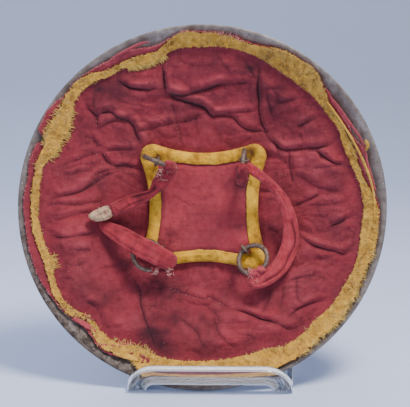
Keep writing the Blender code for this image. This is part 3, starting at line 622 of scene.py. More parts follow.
# Sewn seams and folds of the quilt by their places in the photograph: points, depth, width and puff in mm
quiltFolds = [
    ([(161.7, 59), (162.8, 77), (165, 93.6)], 4.2, 1.7, 1.2),
    ([(117, 70), (116, 79), (128, 87), (147, 89), (157, 88.5)], 3.6, 1.8, 1.6),
    ([(165, 93.6), (178, 99), (195, 104.7), (205, 109), (212.4, 115.8), (231, 117), (239.8, 125.8),
      (252, 130.7), (266, 132)], 3.4, 2.2, 2.0),
    ([(165, 93.6), (186, 96), (208.7, 87), (237, 84)], 3.0, 2.2, 1.8),
    ([(261, 58), (258.4, 82), (258.4, 94.7), (261, 122), (269.6, 140.7)], 4.4, 1.7, 0.6),
    ([(269.6, 140.7), (282, 149.4), (292, 150.6), (314.4, 148.2), (326.8, 146.3),
      (339.3, 140.7)], 3.8, 2.0, 2.0),
    ([(239.8, 51), (246, 63.6), (257.2, 79.8)], 2.2, 1.8, 0.9),
    ([(212.4, 115.8), (233.5, 112.7), (257, 110.8)], 1.8, 1.7, 1.2),
    ([(314.4, 150.6), (326.8, 159.4), (336.8, 164.3), (349, 165)], 3.2, 1.8, 1.7),
    ([(325, 108), (320.6, 114.6), (302, 124.5), (297, 125.8)], 2.8, 1.9, 1.6),
    ([(277, 103), (295.7, 99.7), (309.4, 97.2)], 1.9, 2.2, 1.4),
    ([(81.3, 94.7), (88, 109), (95.8, 116), (95.3, 129)], 3.0, 1.8, 1.2),
    ([(92.5, 84.6), (92.5, 109)], 1.8, 1.5, 0.8),
    ([(95.8, 114.8), (108, 111.4), (117, 117), (129.3, 121.5), (136, 135), (141.6, 146)], 2.4, 2.3, 1.8),
    ([(97, 128), (112.6, 121.5), (129.3, 121.5)], 1.9, 1.8, 1.3),
    ([(137, 132.6), (152.8, 128), (171.7, 123.7), (205, 118)], 1.7, 2.4, 1.6),
    ([(91.4, 140.4), (101.4, 147)], 1.6, 1.6, 0.9),
    ([(99, 152.7), (108, 162.8), (119.3, 166), (141.6, 166)], 2.3, 1.9, 1.5),
    ([(46.7, 199.6), (74.6, 193), (88, 186), (102.5, 177), (118, 171)], 2.3, 2.4, 1.8),
    ([(171.7, 102.5), (175, 117), (179.6, 138), (180.7, 143.8)], 1.3, 1.3, 0.2),
    ([(61.3, 139), (66.8, 151.6)], 2.6, 1.6, 0.8),
    ([(44.5, 236.4), (60.3, 237.6), (78.5, 236.4), (93, 232)], 2.5, 1.9, 1.5),
    ([(72.4, 249.7), (90.6, 251)], 1.7, 1.6, 1.0),
    ([(84.5, 301.8), (94.2, 308), (101.5, 327), (107.6, 337), (124.5, 346.7)], 2.8, 2.0, 1.2),
    ([(127, 272.7), (138, 288.5), (140.3, 303), (144, 318.8), (150, 333), (156, 352.7), (161, 358.8),
      (170.6, 362.4)], 3.2, 1.9, 0.8),
    ([(169.4, 288.5), (187.6, 295.8), (205, 299.4), (210, 298.3), (231, 309.5)], 1.4, 1.6, 0.8),
    ([(56.7, 281), (73.6, 280)], 1.5, 1.5, 0.8),
    ([(191, 351.5), (205, 358.8), (208.7, 361.7)], 2.2, 1.7, 0.8),
    ([(231, 309.5), (246, 313), (261, 319.4), (274.6, 322), (287, 329.4), (298, 327.5), (308, 320.6),
      (310.6, 314.4)], 3.4, 1.9, 1.6),
    ([(289.5, 315.7), (299.5, 308), (314.4, 302), (334.3, 299.5)], 2.8, 1.9, 1.5),
    ([(302, 238.6), (314.4, 246.6), (330.5, 250.4), (344, 253.5), (358, 247.3)], 2.8, 1.9, 1.6),
    ([(330.5, 226), (339.3, 222.4), (360.4, 211)], 2.4, 1.9, 1.5),
    ([(267, 228.6), (280.8, 233.6)], 1.6, 1.8, 0.9),
    ([(60, 166), (82, 158), (99, 152.7)], 1.2, 2.2, 1.0),
    ([(52, 222), (76, 214), (96, 214)], 1.0, 2.4, 1.1),
    ([(300, 176), (318, 188), (342, 192)], 1.2, 2.6, 1.2),
    ([(286, 282), (306, 276), (330, 279)], 1.1, 2.6, 1.1),
    ([(214, 320), (222, 338), (238, 352)], 1.2, 2.4, 0.9),
    ([(180, 320), (196, 332), (204, 350)], 1.0, 2.4, 0.9),
    ([(101, 152), (115, 150), (137, 149)], 1.4, 1.6, 0.9),
    ([(43, 206), (64, 204.5), (85, 204), (109, 199)], 1.6, 1.8, 1.0),
    ([(81, 136), (93, 139), (96, 150)], 1.6, 1.4, 0.7),
    ([(91, 176), (119, 168), (145, 170)], 1.3, 1.8, 1.0),
    ([(200, 92), (216, 86), (238, 83), (250, 84)], 2.2, 1.6, 1.2),
    ([(262, 90), (280, 88), (288, 80)], 1.5, 1.5, 0.9),
    ([(266, 94), (270, 108), (272, 118)], 1.2, 2.2, 0.8),
    ([(300, 133), (302, 144), (298, 150)], 1.2, 2.0, 0.6),
    ([(308, 170), (336, 166), (350, 168)], 1.2, 1.7, 0.9),
    # This one is the right strap's cast shadow on the lining, painted as a broad dark crease.
    ([(288, 152), (290, 170), (294, 184)], 2.0, 2.6, 0.6),
    ([(294, 206), (308, 200), (320, 195)], 2.2, 1.9, 1.1),
    ([(276, 146), (280, 160)], 1.6, 2.0, 0.6),
    ([(344, 253), (350, 248), (361, 245)], 1.6, 1.5, 0.9),
    ([(320, 261), (330, 256), (341, 255)], 1.1, 1.7, 0.8),
    ([(338, 277), (345, 270), (352, 268)], 1.1, 1.7, 0.8),
    ([(284, 281), (282, 298), (279, 312)], 1.3, 2.4, 0.8),
    ([(296, 278), (297, 296), (303, 304)], 1.3, 2.4, 0.8),
    ([(270, 290), (268, 303), (262, 314)], 1.1, 2.3, 0.7),
    ([(103, 329), (118, 327), (129, 322)], 1.4, 1.5, 0.7),
    ([(101, 269), (112, 267), (122, 262)], 1.3, 1.5, 0.7),
    ([(108, 262), (120, 270), (128, 264)], 1.1, 1.3, 0.6),
    ([(215, 45), (220, 60), (232, 74)], 1.1, 2.2, 0.8),
    ([(176, 60), (196, 66), (214, 64)], 1.0, 2.4, 0.9),
    ([(128, 74), (142, 78), (154, 76)], 1.1, 1.8, 0.7),
    ([(62, 176), (82, 172), (98, 162)], 1.0, 2.0, 0.8),
    ([(196, 300), (214, 312), (222, 326)], 1.0, 2.2, 0.7),
    ([(56, 262), (72, 266), (88, 262)], 1.1, 1.7, 0.7),
    ([(306, 206), (330, 205), (352, 199)], 1.1, 2.2, 0.9),
]

# Dirty and worn places by their places in the photograph: right, down, radius in px and strength
quiltStains = [
    (104, 96, 17, 0.6), (123, 84, 14, 0.45), (186, 106, 16, 0.4), (250, 66, 12, 0.6), (278, 88, 16, 0.45),
    (272, 106, 10, 0.5), (212, 60, 10, 0.3), (150, 330, 15, 0.7), (163, 344, 14, 0.6), (176, 318, 13, 0.5),
    (104, 300, 16, 0.45), (84, 288, 12, 0.4), (208, 322, 14, 0.35), (268, 296, 12, 0.35), (262, 92, 9, 0.5),
    (170, 290, 12, 0.4), (320, 130, 14, 0.3), (110, 250, 16, 0.2), (70, 262, 14, 0.25), (340, 176, 14, 0.3),
    (228, 292, 9, 0.3), (98, 84, 9, 0.5), (310, 258, 16, 0.2), (204, 350, 16, 0.3), (125, 262, 9, 0.5),
]


def edgeAt(name, angle):
    radius = readRound(edgeReadings[name], angle)
    if name == "liningOuter":
        nick = edgeReadings["nick"]
        away = (np.degrees(np.mod(angle, fullTurn)) - nick["at"]) / nick["wide"]
        radius = radius - nick["deep"] * np.exp(-away ** 2)
    return radius


def foldRelief(x, z):
    relief = np.zeros(x.shape)
    crease = np.zeros(x.shape)
    for places, depth, width, puff in quiltFolds:
        px, py = np.array(places).T
        fx, fz = fromPhoto(px, py)
        run = smoothRun(np.stack([fx, fz], -1), 7)
        along = np.gradient(run, axis=0)
        along /= np.linalg.norm(along, axis=1)[:, None] + 1e-9
        normal = np.stack([-along[:, 1], along[:, 0]], -1)
        normal *= np.where(normal[:, 1] + 0.3 * normal[:, 0] < 0, -1, 1)[:, None]
        reach = 9 * width
        near = ((x > run[:, 0].min() - reach) & (x < run[:, 0].max() + reach)
                & (z > run[:, 1].min() - reach) & (z < run[:, 1].max() + reach))
        where = np.stack([x[near], z[near]], -1)
        wavy = smoothNoise(where[:, 0] / 9, where[:, 1] / 9, 0, 21) * 1.1
        offset = where[:, None, :] - run[None, :, :]
        gap = np.linalg.norm(offset, axis=2)
        nearest = gap.argmin(axis=1)
        rows = np.arange(len(where))
        side = (offset[rows, nearest] * normal[nearest]).sum(1) + wavy
        away = np.hypot(gap[rows, nearest], 0.001)
        away = np.where(np.abs(side) < away, np.maximum(np.abs(side), away - 1.1), away)
        share = nearest / (len(run) - 1)
        taper = easeIn(share / 0.22 + 0.3) * easeIn((1 - share) / 0.25 + 0.2)
        taper = taper * (0.8 + 0.35 * smoothNoise(where[:, 0] / 13, where[:, 1] / 13, 0, 22))
        sharp = np.exp(-(away / (quilt["creaseWidth"] * width)) ** 2)
        broad = np.exp(-(away / (quilt["shoulderWidth"] * width)) ** 2)
        swell = np.exp(-((side - 2.8 * width) / (2.3 * width)) ** 2) * np.exp(-(away / (5.5 * width)) ** 2)
        lower = np.exp(-((side + 3.2 * width) / (2.4 * width)) ** 2) * np.exp(-(away / (6 * width)) ** 2)
        lifted = quilt["swellGain"] * puff * (swell + 0.45 * lower)
        relief[near] += taper * (lifted - depth * (0.62 * sharp + 0.42 * broad))
        # Painted shade: a dark line along each crease, narrower than its dent, that darkens the cloth's
        # colour through the soil mark.
        creaseShade = np.exp(-(away / (quilt["creaseShadeWidth"] * width)) ** 2) + 0.12 * broad
        crease[near] = np.maximum(crease[near], taper * creaseShade * min(1, depth / 2.6))
    return np.maximum(relief, -6), crease


# The quilt's height above the steel, and how deep in a crease it lies for the painted crease shade, at places
# given by x and z
def quiltShape(x, z, share):
    relief, crease = foldRelief(x, z)
    size = quilt["puffSize"]
    bend = smoothNoise(x / 30, z / 30, 0, 3) * 9
    waves = quilt["puff"] * smoothNoise(x / size, z / size, 0, 11)
    size = quilt["wrinkleSize"]
    waves = waves - quilt["wrinkle"] * creasedNoise((x + bend) / (1.6 * size), (z + bend) / size, 0, 12)
    size = quilt["crinkleSize"]
    waves = waves - quilt["crinkle"] * creasedNoise((x - bend) / (1.7 * size), (z + 2 * bend) / size, 0, 13)
    waves = waves + 0.1 * smoothNoise(x / 2.3, z / 2.1, 0, 14)
    underPad = easeIn((np.maximum(np.abs(x), np.abs(z)) - 50) / 14)
    puff = easeIn((1 - share) / quilt["taper"])
    body = quilt["thick"] - quilt["edge"] - 0.8 + relief + waves
    edge = quilt["fit"] + quilt["edge"]
    height = edge + np.clip(body, 0.4, 11) * puff
    height = np.where(underPad < 1, height * underPad + np.minimum(height, 8.6) * (1 - underPad), height)
    return height, crease * puff


def shareAt(x, z):
    angle = np.arctan2(z / plate["heightShare"], x)
    radius = np.hypot(x, z / plate["heightShare"])
    return radius / edgeAt("ribbonInner", angle)


def quiltHeight(x, z):
    share = shareAt(x, z)
    return np.where(share < 1, quiltShape(x, z, share)[0], quilt["fit"] + quilt["edge"])


def turned(radius, angle):
    return radius * np.cos(angle), radius * plate["heightShare"] * np.sin(angle)


# Torn strips along the lining's edge, as rows of (degrees, radius, width, paleness)
edgeStrips = [
    [(5, 174.5, 2, 0.8), (14, 171.5, 2.6, 1), (22, 173.5, 2.2, 0.8), (31, 170.5, 2.6, 1),
     (41, 170.5, 1.8, 0.9)],
    [(107, 175.4, 1.2, 0.9), (110, 176.2, 2.4, 1), (115, 175.6, 2.8, 1), (121, 175.4, 1.8, 0.9)],
    [(221, 171, 3, 1), (224, 168.5, 5, 1), (227, 166.5, 5, 1), (230, 165, 2.5, 1)],
    [(216, 174, 3, 0.1), (219, 170.5, 5, 0), (223, 163.5, 5, 0.1), (227, 157.5, 3, 0)],
    [(232, 174.5, 2, 0.8), (236, 169.5, 3, 1), (240, 162, 3, 0.9), (244, 155, 2, 0.7)],
    [(243.5, 167, 4, 0), (246, 166.5, 8, 0), (249, 165.5, 8, 0.1), (251.5, 165, 4, 0)],
]
paleStretches = [(4, 41), (99, 127), (226, 248)]                       # worn pale, from and to in degrees


def paleEdge(degrees):
    shares = [easeIn((degrees - start) / 4) * easeIn((end - degrees) / 4) for start, end in paleStretches]
    return 0.7 * np.max(shares, axis=0)


def makeQuilt(material):
    columns = quilt["columns"]
    angle = np.arange(columns) * fullTurn / columns
    shares = np.concatenate([[0.01, 0.08, 0.16, 0.24], np.linspace(0.3, 1, quilt["rows"])])
    inner, outer, edge = (edgeAt(name, angle) for name in ("ribbonInner", "ribbonOuter", "liningOuter"))
    ragged = 0.7 * smoothNoise(np.cos(angle) * 60, np.sin(angle) * 60, 0, 31)
    ragged = ragged + 0.5 * smoothNoise(np.cos(angle) * 19, np.sin(angle) * 19, 0, 32)
    edge = edge + ragged
    x, z = turned(shares[:, None] * inner, angle)
    height, crease = quiltShape(x, z, np.repeat(shares[:, None], columns, 1))
    px, py = photoPlace(x, z)
    # Painted shade in the creases first, then real stains and blotches of dirt.
    soilAndShade = 0.9 * np.clip(crease, 0, 1)
    soilAndShade = soilAndShade + stained(px, py, quiltStains) * (1 + 0.5 * smoothNoise(x / 7, z / 7, 0, 41))
    soilAndShade = soilAndShade + 0.12 * np.clip(smoothNoise(x / 21, z / 21, 0, 42), 0, 1)
    # Paler on the raised puffs: painted highlight of their lit tops, with wear of the ridges.
    swell = height - (quilt["fit"] + quilt["edge"] + 6)
    wearAndHighlight = np.clip(0.2 * swell, 0, 0.6) * (0.8 + 0.6 * smoothNoise(x / 5, z / 5, 0, 43))
    grid = seated(x, z, height)
    rows = [grid]
    soils, wears = [soilAndShade], [wearAndHighlight]
    lift = quilt["fit"] + quilt["edge"]
    flutter = 0.35 * smoothNoise(np.cos(angle) * 40, np.sin(angle) * 40, 0, 33)
    hem = [                                                             # loose, radius, height, soil, wear
        (0, inner * 0.4 + outer * 0.6, lift, 0.1, 0.1),
        (0, outer, lift, 0.2, 0.1),
        (1, outer * 0.5 + edge * 0.5, lift + 0.5, 0.1, 0.2),
        (1, outer * 0.12 + edge * 0.88, lift + 0.3, 0, 0.5),
        (1, edge, lift - 0.7, 0, 1),
        (1, edge - 0.2, quilt["fit"] + 0.5, 0.2, 0.6),
        (0, np.minimum(edge, outer) - 1.5, quilt["fit"], 0.5, 0),
    ]
    for step, radius, height, dirtAndShade, faded in hem:
        ex, ez = turned(radius, angle)
        rows.append(seated(ex, ez, height + step * flutter)[None])
        soils.append(np.full((1, columns), dirtAndShade))
        bleached = paleEdge(np.degrees(angle)) * (step > 0)
        wears.append((faded + bleached)[None] * (0.6 + 0.4 * smoothNoise(ex / 3, ez / 3, 0, 35)))
    for share in (0.85, 0.6, 0.3, 0.01):
        ex, ez = turned(inner * share, angle)
        rows.append(seated(ex, ez, quilt["fit"])[None])
        soils.append(np.full((1, columns), 0.5))
        wears.append(np.zeros((1, columns)))
    grid = np.concatenate(rows)
    bodies = [(grid, np.clip(np.concatenate(soils), 0, 1), np.clip(np.concatenate(wears), 0, 1))]
    for i, strip in enumerate(edgeStrips):
        bodies.append(stripGrid(strip, 1.4, lift + 0.6, 300 + 3 * i))
    grids = [(body[0], False, True, (1, 1)) for body in bodies]
    piece = makeGridPiece("quilted_cotton_lining", grids, material, clothMarks(bodies))
    closePoles(piece, [0, len(grid) - 1], columns)
    weldPoles(piece)
    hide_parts("quilted_lining")


ribbonStrips = [
    [(-5, 173, 1.6, 0.4), (6, 172, 2.2, 0.6), (18, 167.5, 2.4, 0.4), (30, 164.5, 2.2, 0.6),
     (41, 164.5, 1.6, 0.4)],
    [(239, 172, 3, 0.6), (242, 169.5, 5, 0.3), (245, 168, 5, 0.6), (248, 168, 2.5, 0.5)],
    [(19, 173.5, 1.5, 0.2), (20.5, 177, 4, 0.3), (22.5, 176.5, 3, 0.2)],
]
ribbon = {
    "thick": 0.7, "over": 0.35, "columns": 1440, "rows": 20, "meanRadius": 170, "meanWidth": 14,
    "netting": (42, 74),                                                # its open net, from and to in degrees
    "flat": (0.014, 1.03),                                              # m, laid out
}


def makeRibbon(material):
    columns, rows = ribbon["columns"], ribbon["rows"]
    angle = np.arange(columns) * fullTurn / columns
    inner, outer = edgeAt("ribbonInner", angle), edgeAt("ribbonOuter", angle)
    cx, cz = np.cos(angle), np.sin(angle)
    inner = inner + 0.7 * smoothNoise(cx * 75, cz * 75, 0, 51) + 0.5 * smoothNoise(cx * 170, cz * 170, 0, 52)
    outer = outer + 0.8 * smoothNoise(cx * 70, cz * 70, 0, 53) + 0.6 * smoothNoise(cx * 160, cz * 160, 0, 54)
    across = np.linspace(0, 1, rows)[:, None]
    radius = inner + (outer - inner) * across
    x, z = turned(radius, angle)
    crumple = creasedNoise(cx * 22 + 0 * across, cz * 22 + 0 * across, across * 3, 55)
    crumple = 0.55 * crumple + 0.4 * creasedNoise(cx * 60 + 0 * across, cz * 60 + 0 * across, across * 5, 56)
    crumple = crumple + 0.45 * smoothNoise(x / 1.7, z / 1.7, 0, 57) - 0.5 * creasedNoise(x / 5, z / 5, 0, 61)
    curl = 1.0 * np.clip(smoothNoise(cx * 14, cz * 14, 0, 58), 0, 1) * easeIn((across - 0.7) / 0.3)
    base = quilt["fit"] + quilt["edge"] + ribbon["over"] + ribbon["thick"]
    top = base + 0.75 + 0.75 * crumple + curl
    top = np.maximum(top, base)
    grid = np.concatenate([seated(x, z, top), seated(x, z, top - ribbon["thick"])[::-1]])
    # Darker where the crumpled ribbon dips: painted shade in its hollows, with dirt that varies at random.
    dirtAndShade = 0.2 + 0.3 * smoothNoise(x / 6, z / 6, 0, 59) - 0.4 * crumple
    worn = 0.15 + 0.45 * np.clip(smoothNoise(x / 9, z / 9, 0, 60), 0, 1)
    degrees = np.degrees(angle)
    netStart, netEnd = ribbon["netting"]
    netting = easeIn((degrees - netStart) / 6) * easeIn((netEnd - degrees) / 6)
    dirtAndShade = dirtAndShade + 0.25 * netting
    worn = worn + 0.35 * netting * (across > 0.6)
    bodies = [(grid, np.clip(np.concatenate([dirtAndShade, dirtAndShade[::-1]]), 0, 1),
               np.clip(np.concatenate([worn, worn[::-1]]), 0, 1))]
    for i, strip in enumerate(ribbonStrips):
        bodies.append(stripGrid(strip, 1.2, base + 0.9, 330 + 3 * i))
    unit = (fullTurn * ribbon["meanRadius"] / columns * metres, ribbon["meanWidth"] / rows * metres)
    grids = [(body[0], i == 0, True, unit) for i, body in enumerate(bodies)]
    piece = makeGridPiece("frayed_ribbon", grids, material, clothMarks(bodies))
    weldPoles(piece)
    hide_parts("edge_ribbon")


threads = {
    "sides": 3, "steps": 6,
    "frayRadius": (0.22, 0.4), "fuzzRadius": (0.13, 0.25),
    "stitchRadius": (0.1, 0.17), "tuftRadius": (0.18, 0.32),
}


# Loose threads: tapered round yarn that follows runs of points
def makeThreads(name, runs, radius, material):
    sides = threads["sides"]
    runs = np.asarray(runs, float)
    count, steps = runs.shape[:2]
    along = np.gradient(runs, axis=1)
    along /= np.linalg.norm(along, axis=2)[..., None] + 1e-9
    side = np.cross(along, [0.13, -1, 0.21])
    side /= np.linalg.norm(side, axis=2)[..., None] + 1e-9
    other = np.cross(along, side)
    taper = 1 - 0.6 * np.linspace(0, 1, steps) ** 2
    radius = np.broadcast_to(np.asarray(radius, float), (count,))[:, None] * taper
    turn = np.arange(sides) * fullTurn / sides
    ring = (side[:, :, None] * np.cos(turn)[:, None] + other[:, :, None] * np.sin(turn)[:, None])
    points = (runs[:, :, None] + ring * radius[:, :, None, None]).reshape(count, steps * sides, 3)
    corners = gridCorners(steps, sides, False, True)
    one = corners[..., 0] * sides + corners[..., 1] % sides
    faces = (one[None] + (np.arange(count) * steps * sides)[:, None, None]).reshape(-1, 4).tolist()
    for i in range(count):
        start, end = i * steps * sides, (i * steps + steps - 1) * sides
        faces.append([start + j for j in reversed(range(sides))])
        faces.append([end + j for j in range(sides)])
    piece = addObject(name, placed(points.reshape(-1, 3)), faces, material)
    fixOutward(piece.data)
    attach(piece, "root")


# Frayed stretches of the ribbon: from and to in degrees, edge, threads, shortest and longest in mm, and lean
frays = [
    (0, 360, "outer", 520, 0.8, 2.6, 0.9), (0, 360, "inner", 420, 0.8, 2.2, 0.9),
    (103, 118, "inner", 190, 4, 9, 0.3), (118, 143, "inner", 40, 1.5, 4, 0.8),
    (143, 162, "inner", 150, 3, 9, 0.8), (144, 158, "outer", 110, 3, 8, 0.9),
    (160, 216, "inner", 60, 1.5, 3.5, 0.9), (198, 203, "inner", 26, 5, 9, 0.7),
    (160, 200, "outer", 50, 1, 3, 0.9), (236, 252, "inner", 80, 3, 9, 1.0),
    (216, 236, "outer", 30, 2, 5, 1.0), (238, 252, "outer", 40, 2, 6, 1.0),
    (303, 345, "outer", 220, 2.5, 7.5, 0.6), (317, 331, "outer", 34, 5, 10, 0.8),
    (345, 360, "outer", 50, 1.5, 4, 0.9), (285, 303, "inner", 50, 1.5, 4.5, 0.9),
    (18, 24, "outer", 30, 2.5, 6, 0.9), (40, 62, "outer", 50, 1.5, 3.5, 0.7),
    (252, 300, "inner", 60, 1.5, 4, 1.0),
]

# Loose fibres that lie on the ribbon: from and to in degrees, number, longest in mm
ribbonFuzz = [(0, 360, 1100, 4.5), (140, 165, 160, 6), (285, 345, 260, 6), (40, 75, 160, 4),
              (215, 250, 120, 6)]

# Frayed stretches of the lining, as those of the ribbon
pinkFrays = [(76, 97, "outer", 60, 2.5, 6, 0.5), (98, 140, "edge", 90, 1, 3, 0.9),
             (140, 222, "edge", 110, 0.8, 2.5, 0.9), (2, 40, "edge", 70, 0.8, 2.6, 0.9)]


def frayRuns(stretches, seed):
    draw = np.random.RandomState(seed)
    runs, radii = [], []
    steps = threads["steps"]
    for start, end, edge, count, shortest, longest, lean in stretches:
        angle = np.radians(draw.uniform(start, end, count))
        outward = -1.0 if edge == "inner" else 1.0
        name = {"inner": "ribbonInner", "outer": "ribbonOuter", "edge": "liningOuter"}[edge]
        radius = edgeAt(name, angle) - outward * draw.uniform(0.3, 1.4, count)
        length = draw.uniform(shortest, longest, count)
        tilt = draw.normal(0, lean, count)
        bend = draw.normal(0, 0.7, count)
        lift = draw.uniform(0.2, 1.0, count) * length * 0.22
        base = quilt["fit"] + quilt["edge"] + (0.4 if edge == "edge" else 1.6)
        t = np.linspace(0, 1, steps)
        heading = tilt[:, None] + bend[:, None] * t
        goOut = np.cumsum(np.cos(heading), 1) / steps * length[:, None]
        goRound = np.cumsum(np.sin(heading), 1) / steps * length[:, None]
        r = radius[:, None] + outward * (goOut - goOut[:, :1])
        a = angle[:, None] + (goRound - goRound[:, :1]) / radius[:, None]
        x, z = turned(r, a)
        ground = quiltHeight(x, z) if edge == "inner" else np.full(x.shape, base)
        onSteel = r > edgeAt("liningOuter", a) + 0.3
        ground = np.where(onSteel, np.maximum(0.8, base - (r - edgeAt("liningOuter", a)) * 0.8), ground)
        arch = lift[:, None] * np.sin(math.pi * t * 0.8)
        height = np.maximum(ground + 0.25, base * (1 - t) + ground * t) + arch
        limit = plate["rimRadius"] - 0.5
        keep = np.minimum(1, limit / np.maximum(r, 1))
        runs.append(seated(x * keep, z * keep, height))
        radii.append(draw.uniform(*threads["frayRadius"], count))
    return np.concatenate(runs), np.concatenate(radii)


def fuzzRuns(seed):
    draw = np.random.RandomState(seed)
    runs = []
    steps = threads["steps"]
    for start, end, count, longest in ribbonFuzz:
        angle = np.radians(draw.uniform(start, end, count))
        across = draw.uniform(0.05, 0.95, count)
        radius = edgeAt("ribbonInner", angle) * (1 - across) + edgeAt("ribbonOuter", angle) * across
        heading = draw.uniform(0, fullTurn, count)[:, None]
        heading = heading + draw.normal(0, 1.3, count)[:, None] * np.linspace(0, 1, steps)
        length = draw.uniform(1.5, longest, count)[:, None] / steps
        x, z = turned(radius, angle)
        x = x[:, None] + np.cumsum(np.cos(heading), 1) * length
        z = z[:, None] + np.cumsum(np.sin(heading), 1) * length
        spot = np.hypot(x, z / plate["heightShare"])
        keep = np.minimum(1, (plate["rimRadius"] - 2) / spot)
        arch = np.sin(math.pi * np.linspace(0.1, 0.95, steps)) * draw.uniform(0.1, 1.0, count)[:, None]
        height = quilt["fit"] + quilt["edge"] + 1.9 + arch
        runs.append(seated(x * keep, z * keep, height))
    runs = np.concatenate(runs)
    return runs, draw.uniform(*threads["fuzzRadius"], len(runs))


# Sewing stitches along seams by their places in the photograph, and how far apart they are in mm
seams = [
    ([(171.7, 102.5), (175, 117), (179.6, 138), (180.7, 143.8)], 4.2), ([(95, 112), (96, 128)], 4),
    ([(169.4, 288.5), (187.6, 295.8), (205, 299.4), (210, 298.3)], 4.2),
    ([(101.4, 147), (104, 156), (99, 170), (106, 196)], 7), ([(127, 272), (138, 288), (140, 300)], 5),
    ([(166, 62), (166, 88)], 7), ([(274, 174), (288, 176)], 3.5),
]

# Lint that lies on the lining: right, down and spread in px, and how many bits
lintPlaces = [(190, 60, 40, 8), (100, 150, 26, 12), (210, 300, 34, 14), (310, 150, 40, 8), (140, 340, 30, 10),
              (60, 190, 20, 6), (300, 250, 36, 10), (70, 260, 26, 8), (230, 100, 30, 6)]


def stitchRuns(seed):
    draw = np.random.RandomState(seed)
    runs = []
    t = np.linspace(-0.5, 0.5, threads["steps"])

    def addRun(x, z, heading, length, bend):
        turn = heading + bend * t
        runs.append((x + np.cos(turn) * t * length, z + np.sin(turn) * t * length))

    for places, gap in seams:
        x, z = fromPhoto(*np.array(places).T)
        run = smoothRun(np.stack([x, z], -1), 40)
        length = np.concatenate([[0], np.cumsum(np.linalg.norm(np.diff(run, axis=0), axis=1))])
        for at in np.arange(1, length[-1], gap):
            i = min(np.searchsorted(length, at), len(run) - 1)
            heading = math.atan2(run[i, 1] - run[i - 1, 1], run[i, 0] - run[i - 1, 0])
            addRun(run[i, 0], run[i, 1], heading + draw.normal(0, 0.25), draw.uniform(1.6, 2.4), 0.2)
    for px, py, spread, count in lintPlaces:
        for i in range(count):
            x, z = fromPhoto(px + draw.normal(0, spread / 2), py + draw.normal(0, spread / 2))
            addRun(float(x), float(z), draw.uniform(0, fullTurn), draw.uniform(0.8, 2.6), draw.normal(0, 2))
    x, z = np.array(runs).transpose(1, 0, 2)
    onQuilt = np.all(shareAt(x, z) < 0.97, 1)
    x, z = x[onQuilt], z[onQuilt]
    runs = seated(x, z, quiltHeight(x, z) + 0.25 - 1.2 * np.abs(t) ** 3)
    return runs, draw.uniform(*threads["stitchRadius"], len(runs))


# Frayed tufts at the straps' ends: place in the photograph, depth behind the rim, threads, spread and length
tufts = [(251, 170, 7, 26, 3, 6), (161, 174, 12, 46, 5, 8), (154, 271, 18, 16, 4, 7),
         (169, 271, 20, 22, 4, 6), (250, 272, 15, 22, 5, 5), (254, 279, 15, 14, 5, 5),
         (97, 214, 20, 40, 5, 6), (106, 212, 20, 20, 3, 5), (172, 165, 8, 10, 4, 5)]


def tuftRuns(seed):
    draw = np.random.RandomState(seed)
    runs = []
    steps = threads["steps"]
    for px, py, depth, count, spread, longest in tufts:
        x, z = atDepth(px, py, depth)
        middle = np.array([x, depth, z])
        start = middle + draw.normal(0, 1, (count, 3)) * [spread / 2, 1.2, spread / 2]
        heading = draw.normal(0, 1, (count, 3)) * [1, 0.5, 1]
        heading /= np.linalg.norm(heading, axis=1)[:, None]
        bend = draw.normal(0, 0.6, (count, 3))
        t = np.linspace(-0.5, 0.5, steps)[None, :, None]
        length = draw.uniform(0.4, 1, (count, 1, 1)) * longest
        runs.append(start[:, None] + length * (heading[:, None] * t + bend[:, None] * (t ** 2 - 0.1)))
    runs = np.concatenate(runs)
    return runs, draw.uniform(*threads["tuftRadius"], len(runs))


cushion = {
    "half": 65, "corner": 13, "flare": 19, "seat": 10, "crown": 10, "shoulder": 7, "edge": 5,
    "bandWidth": 12, "cornerFill": 4.5, "readHeight": 18, "bandReadHeight": 17,
    "bluntCorner": {"at": (-60, -60), "pull": (0, 9), "reach": 17},     # slumped under the torn strap
    "crease": {"from": (172.0, 196.0), "to": (193.0, 208.0), "deep": 0.7, "wide": 1.5},     # px, then mm
    "sideSteps": 60, "cornerSteps": 26, "rows": 60,
    "bandFlat": (0.021, 0.47),                                          # m, the binding laid out
}

# The eyes' places on the lining, and each ring's middle from its eye: right and up in mm
corners = {
    "upper_left": {"spot": (-51, 51), "drop": (3.1, -1.3), "onEdge": True},
    "upper_right": {"spot": (46, 53.5), "drop": (-0.5, -6.3), "onEdge": True},
    "lower_right": {"spot": (46.5, -46.5), "drop": (8.5, -10.2), "onEdge": False},
    "lower_left": {"spot": (-48, -46), "drop": (-11.8, -6.8), "onEdge": False},
}

# Dirty places, as on the quilt
cushionStains = [(170, 235, 6, 0.5), (239, 226, 7, 0.5), (226, 181, 12, 0.3), (245, 183, 9, 0.7),
                 (205, 232, 24, 0.36), (176, 200, 9, 0.2), (190, 180, 12, 0.12), (240, 200, 9, 0.3),
                 (160, 246, 9, 0.35), (252, 148, 6, 0.5), (246, 250, 5, 0.8), (243, 183, 7, 0.4)]
bandStains = [(251, 151, 7, 0.9), (243, 158, 6, 0.5), (158, 157, 5, 0.9), (168, 156, 7, 0.4),
              (247, 249, 5, 0.8), (150, 232, 6, 0.5), (262, 240, 7, 0.6), (144, 156, 4, 0.5),
              (232, 262, 5, 0.5)]


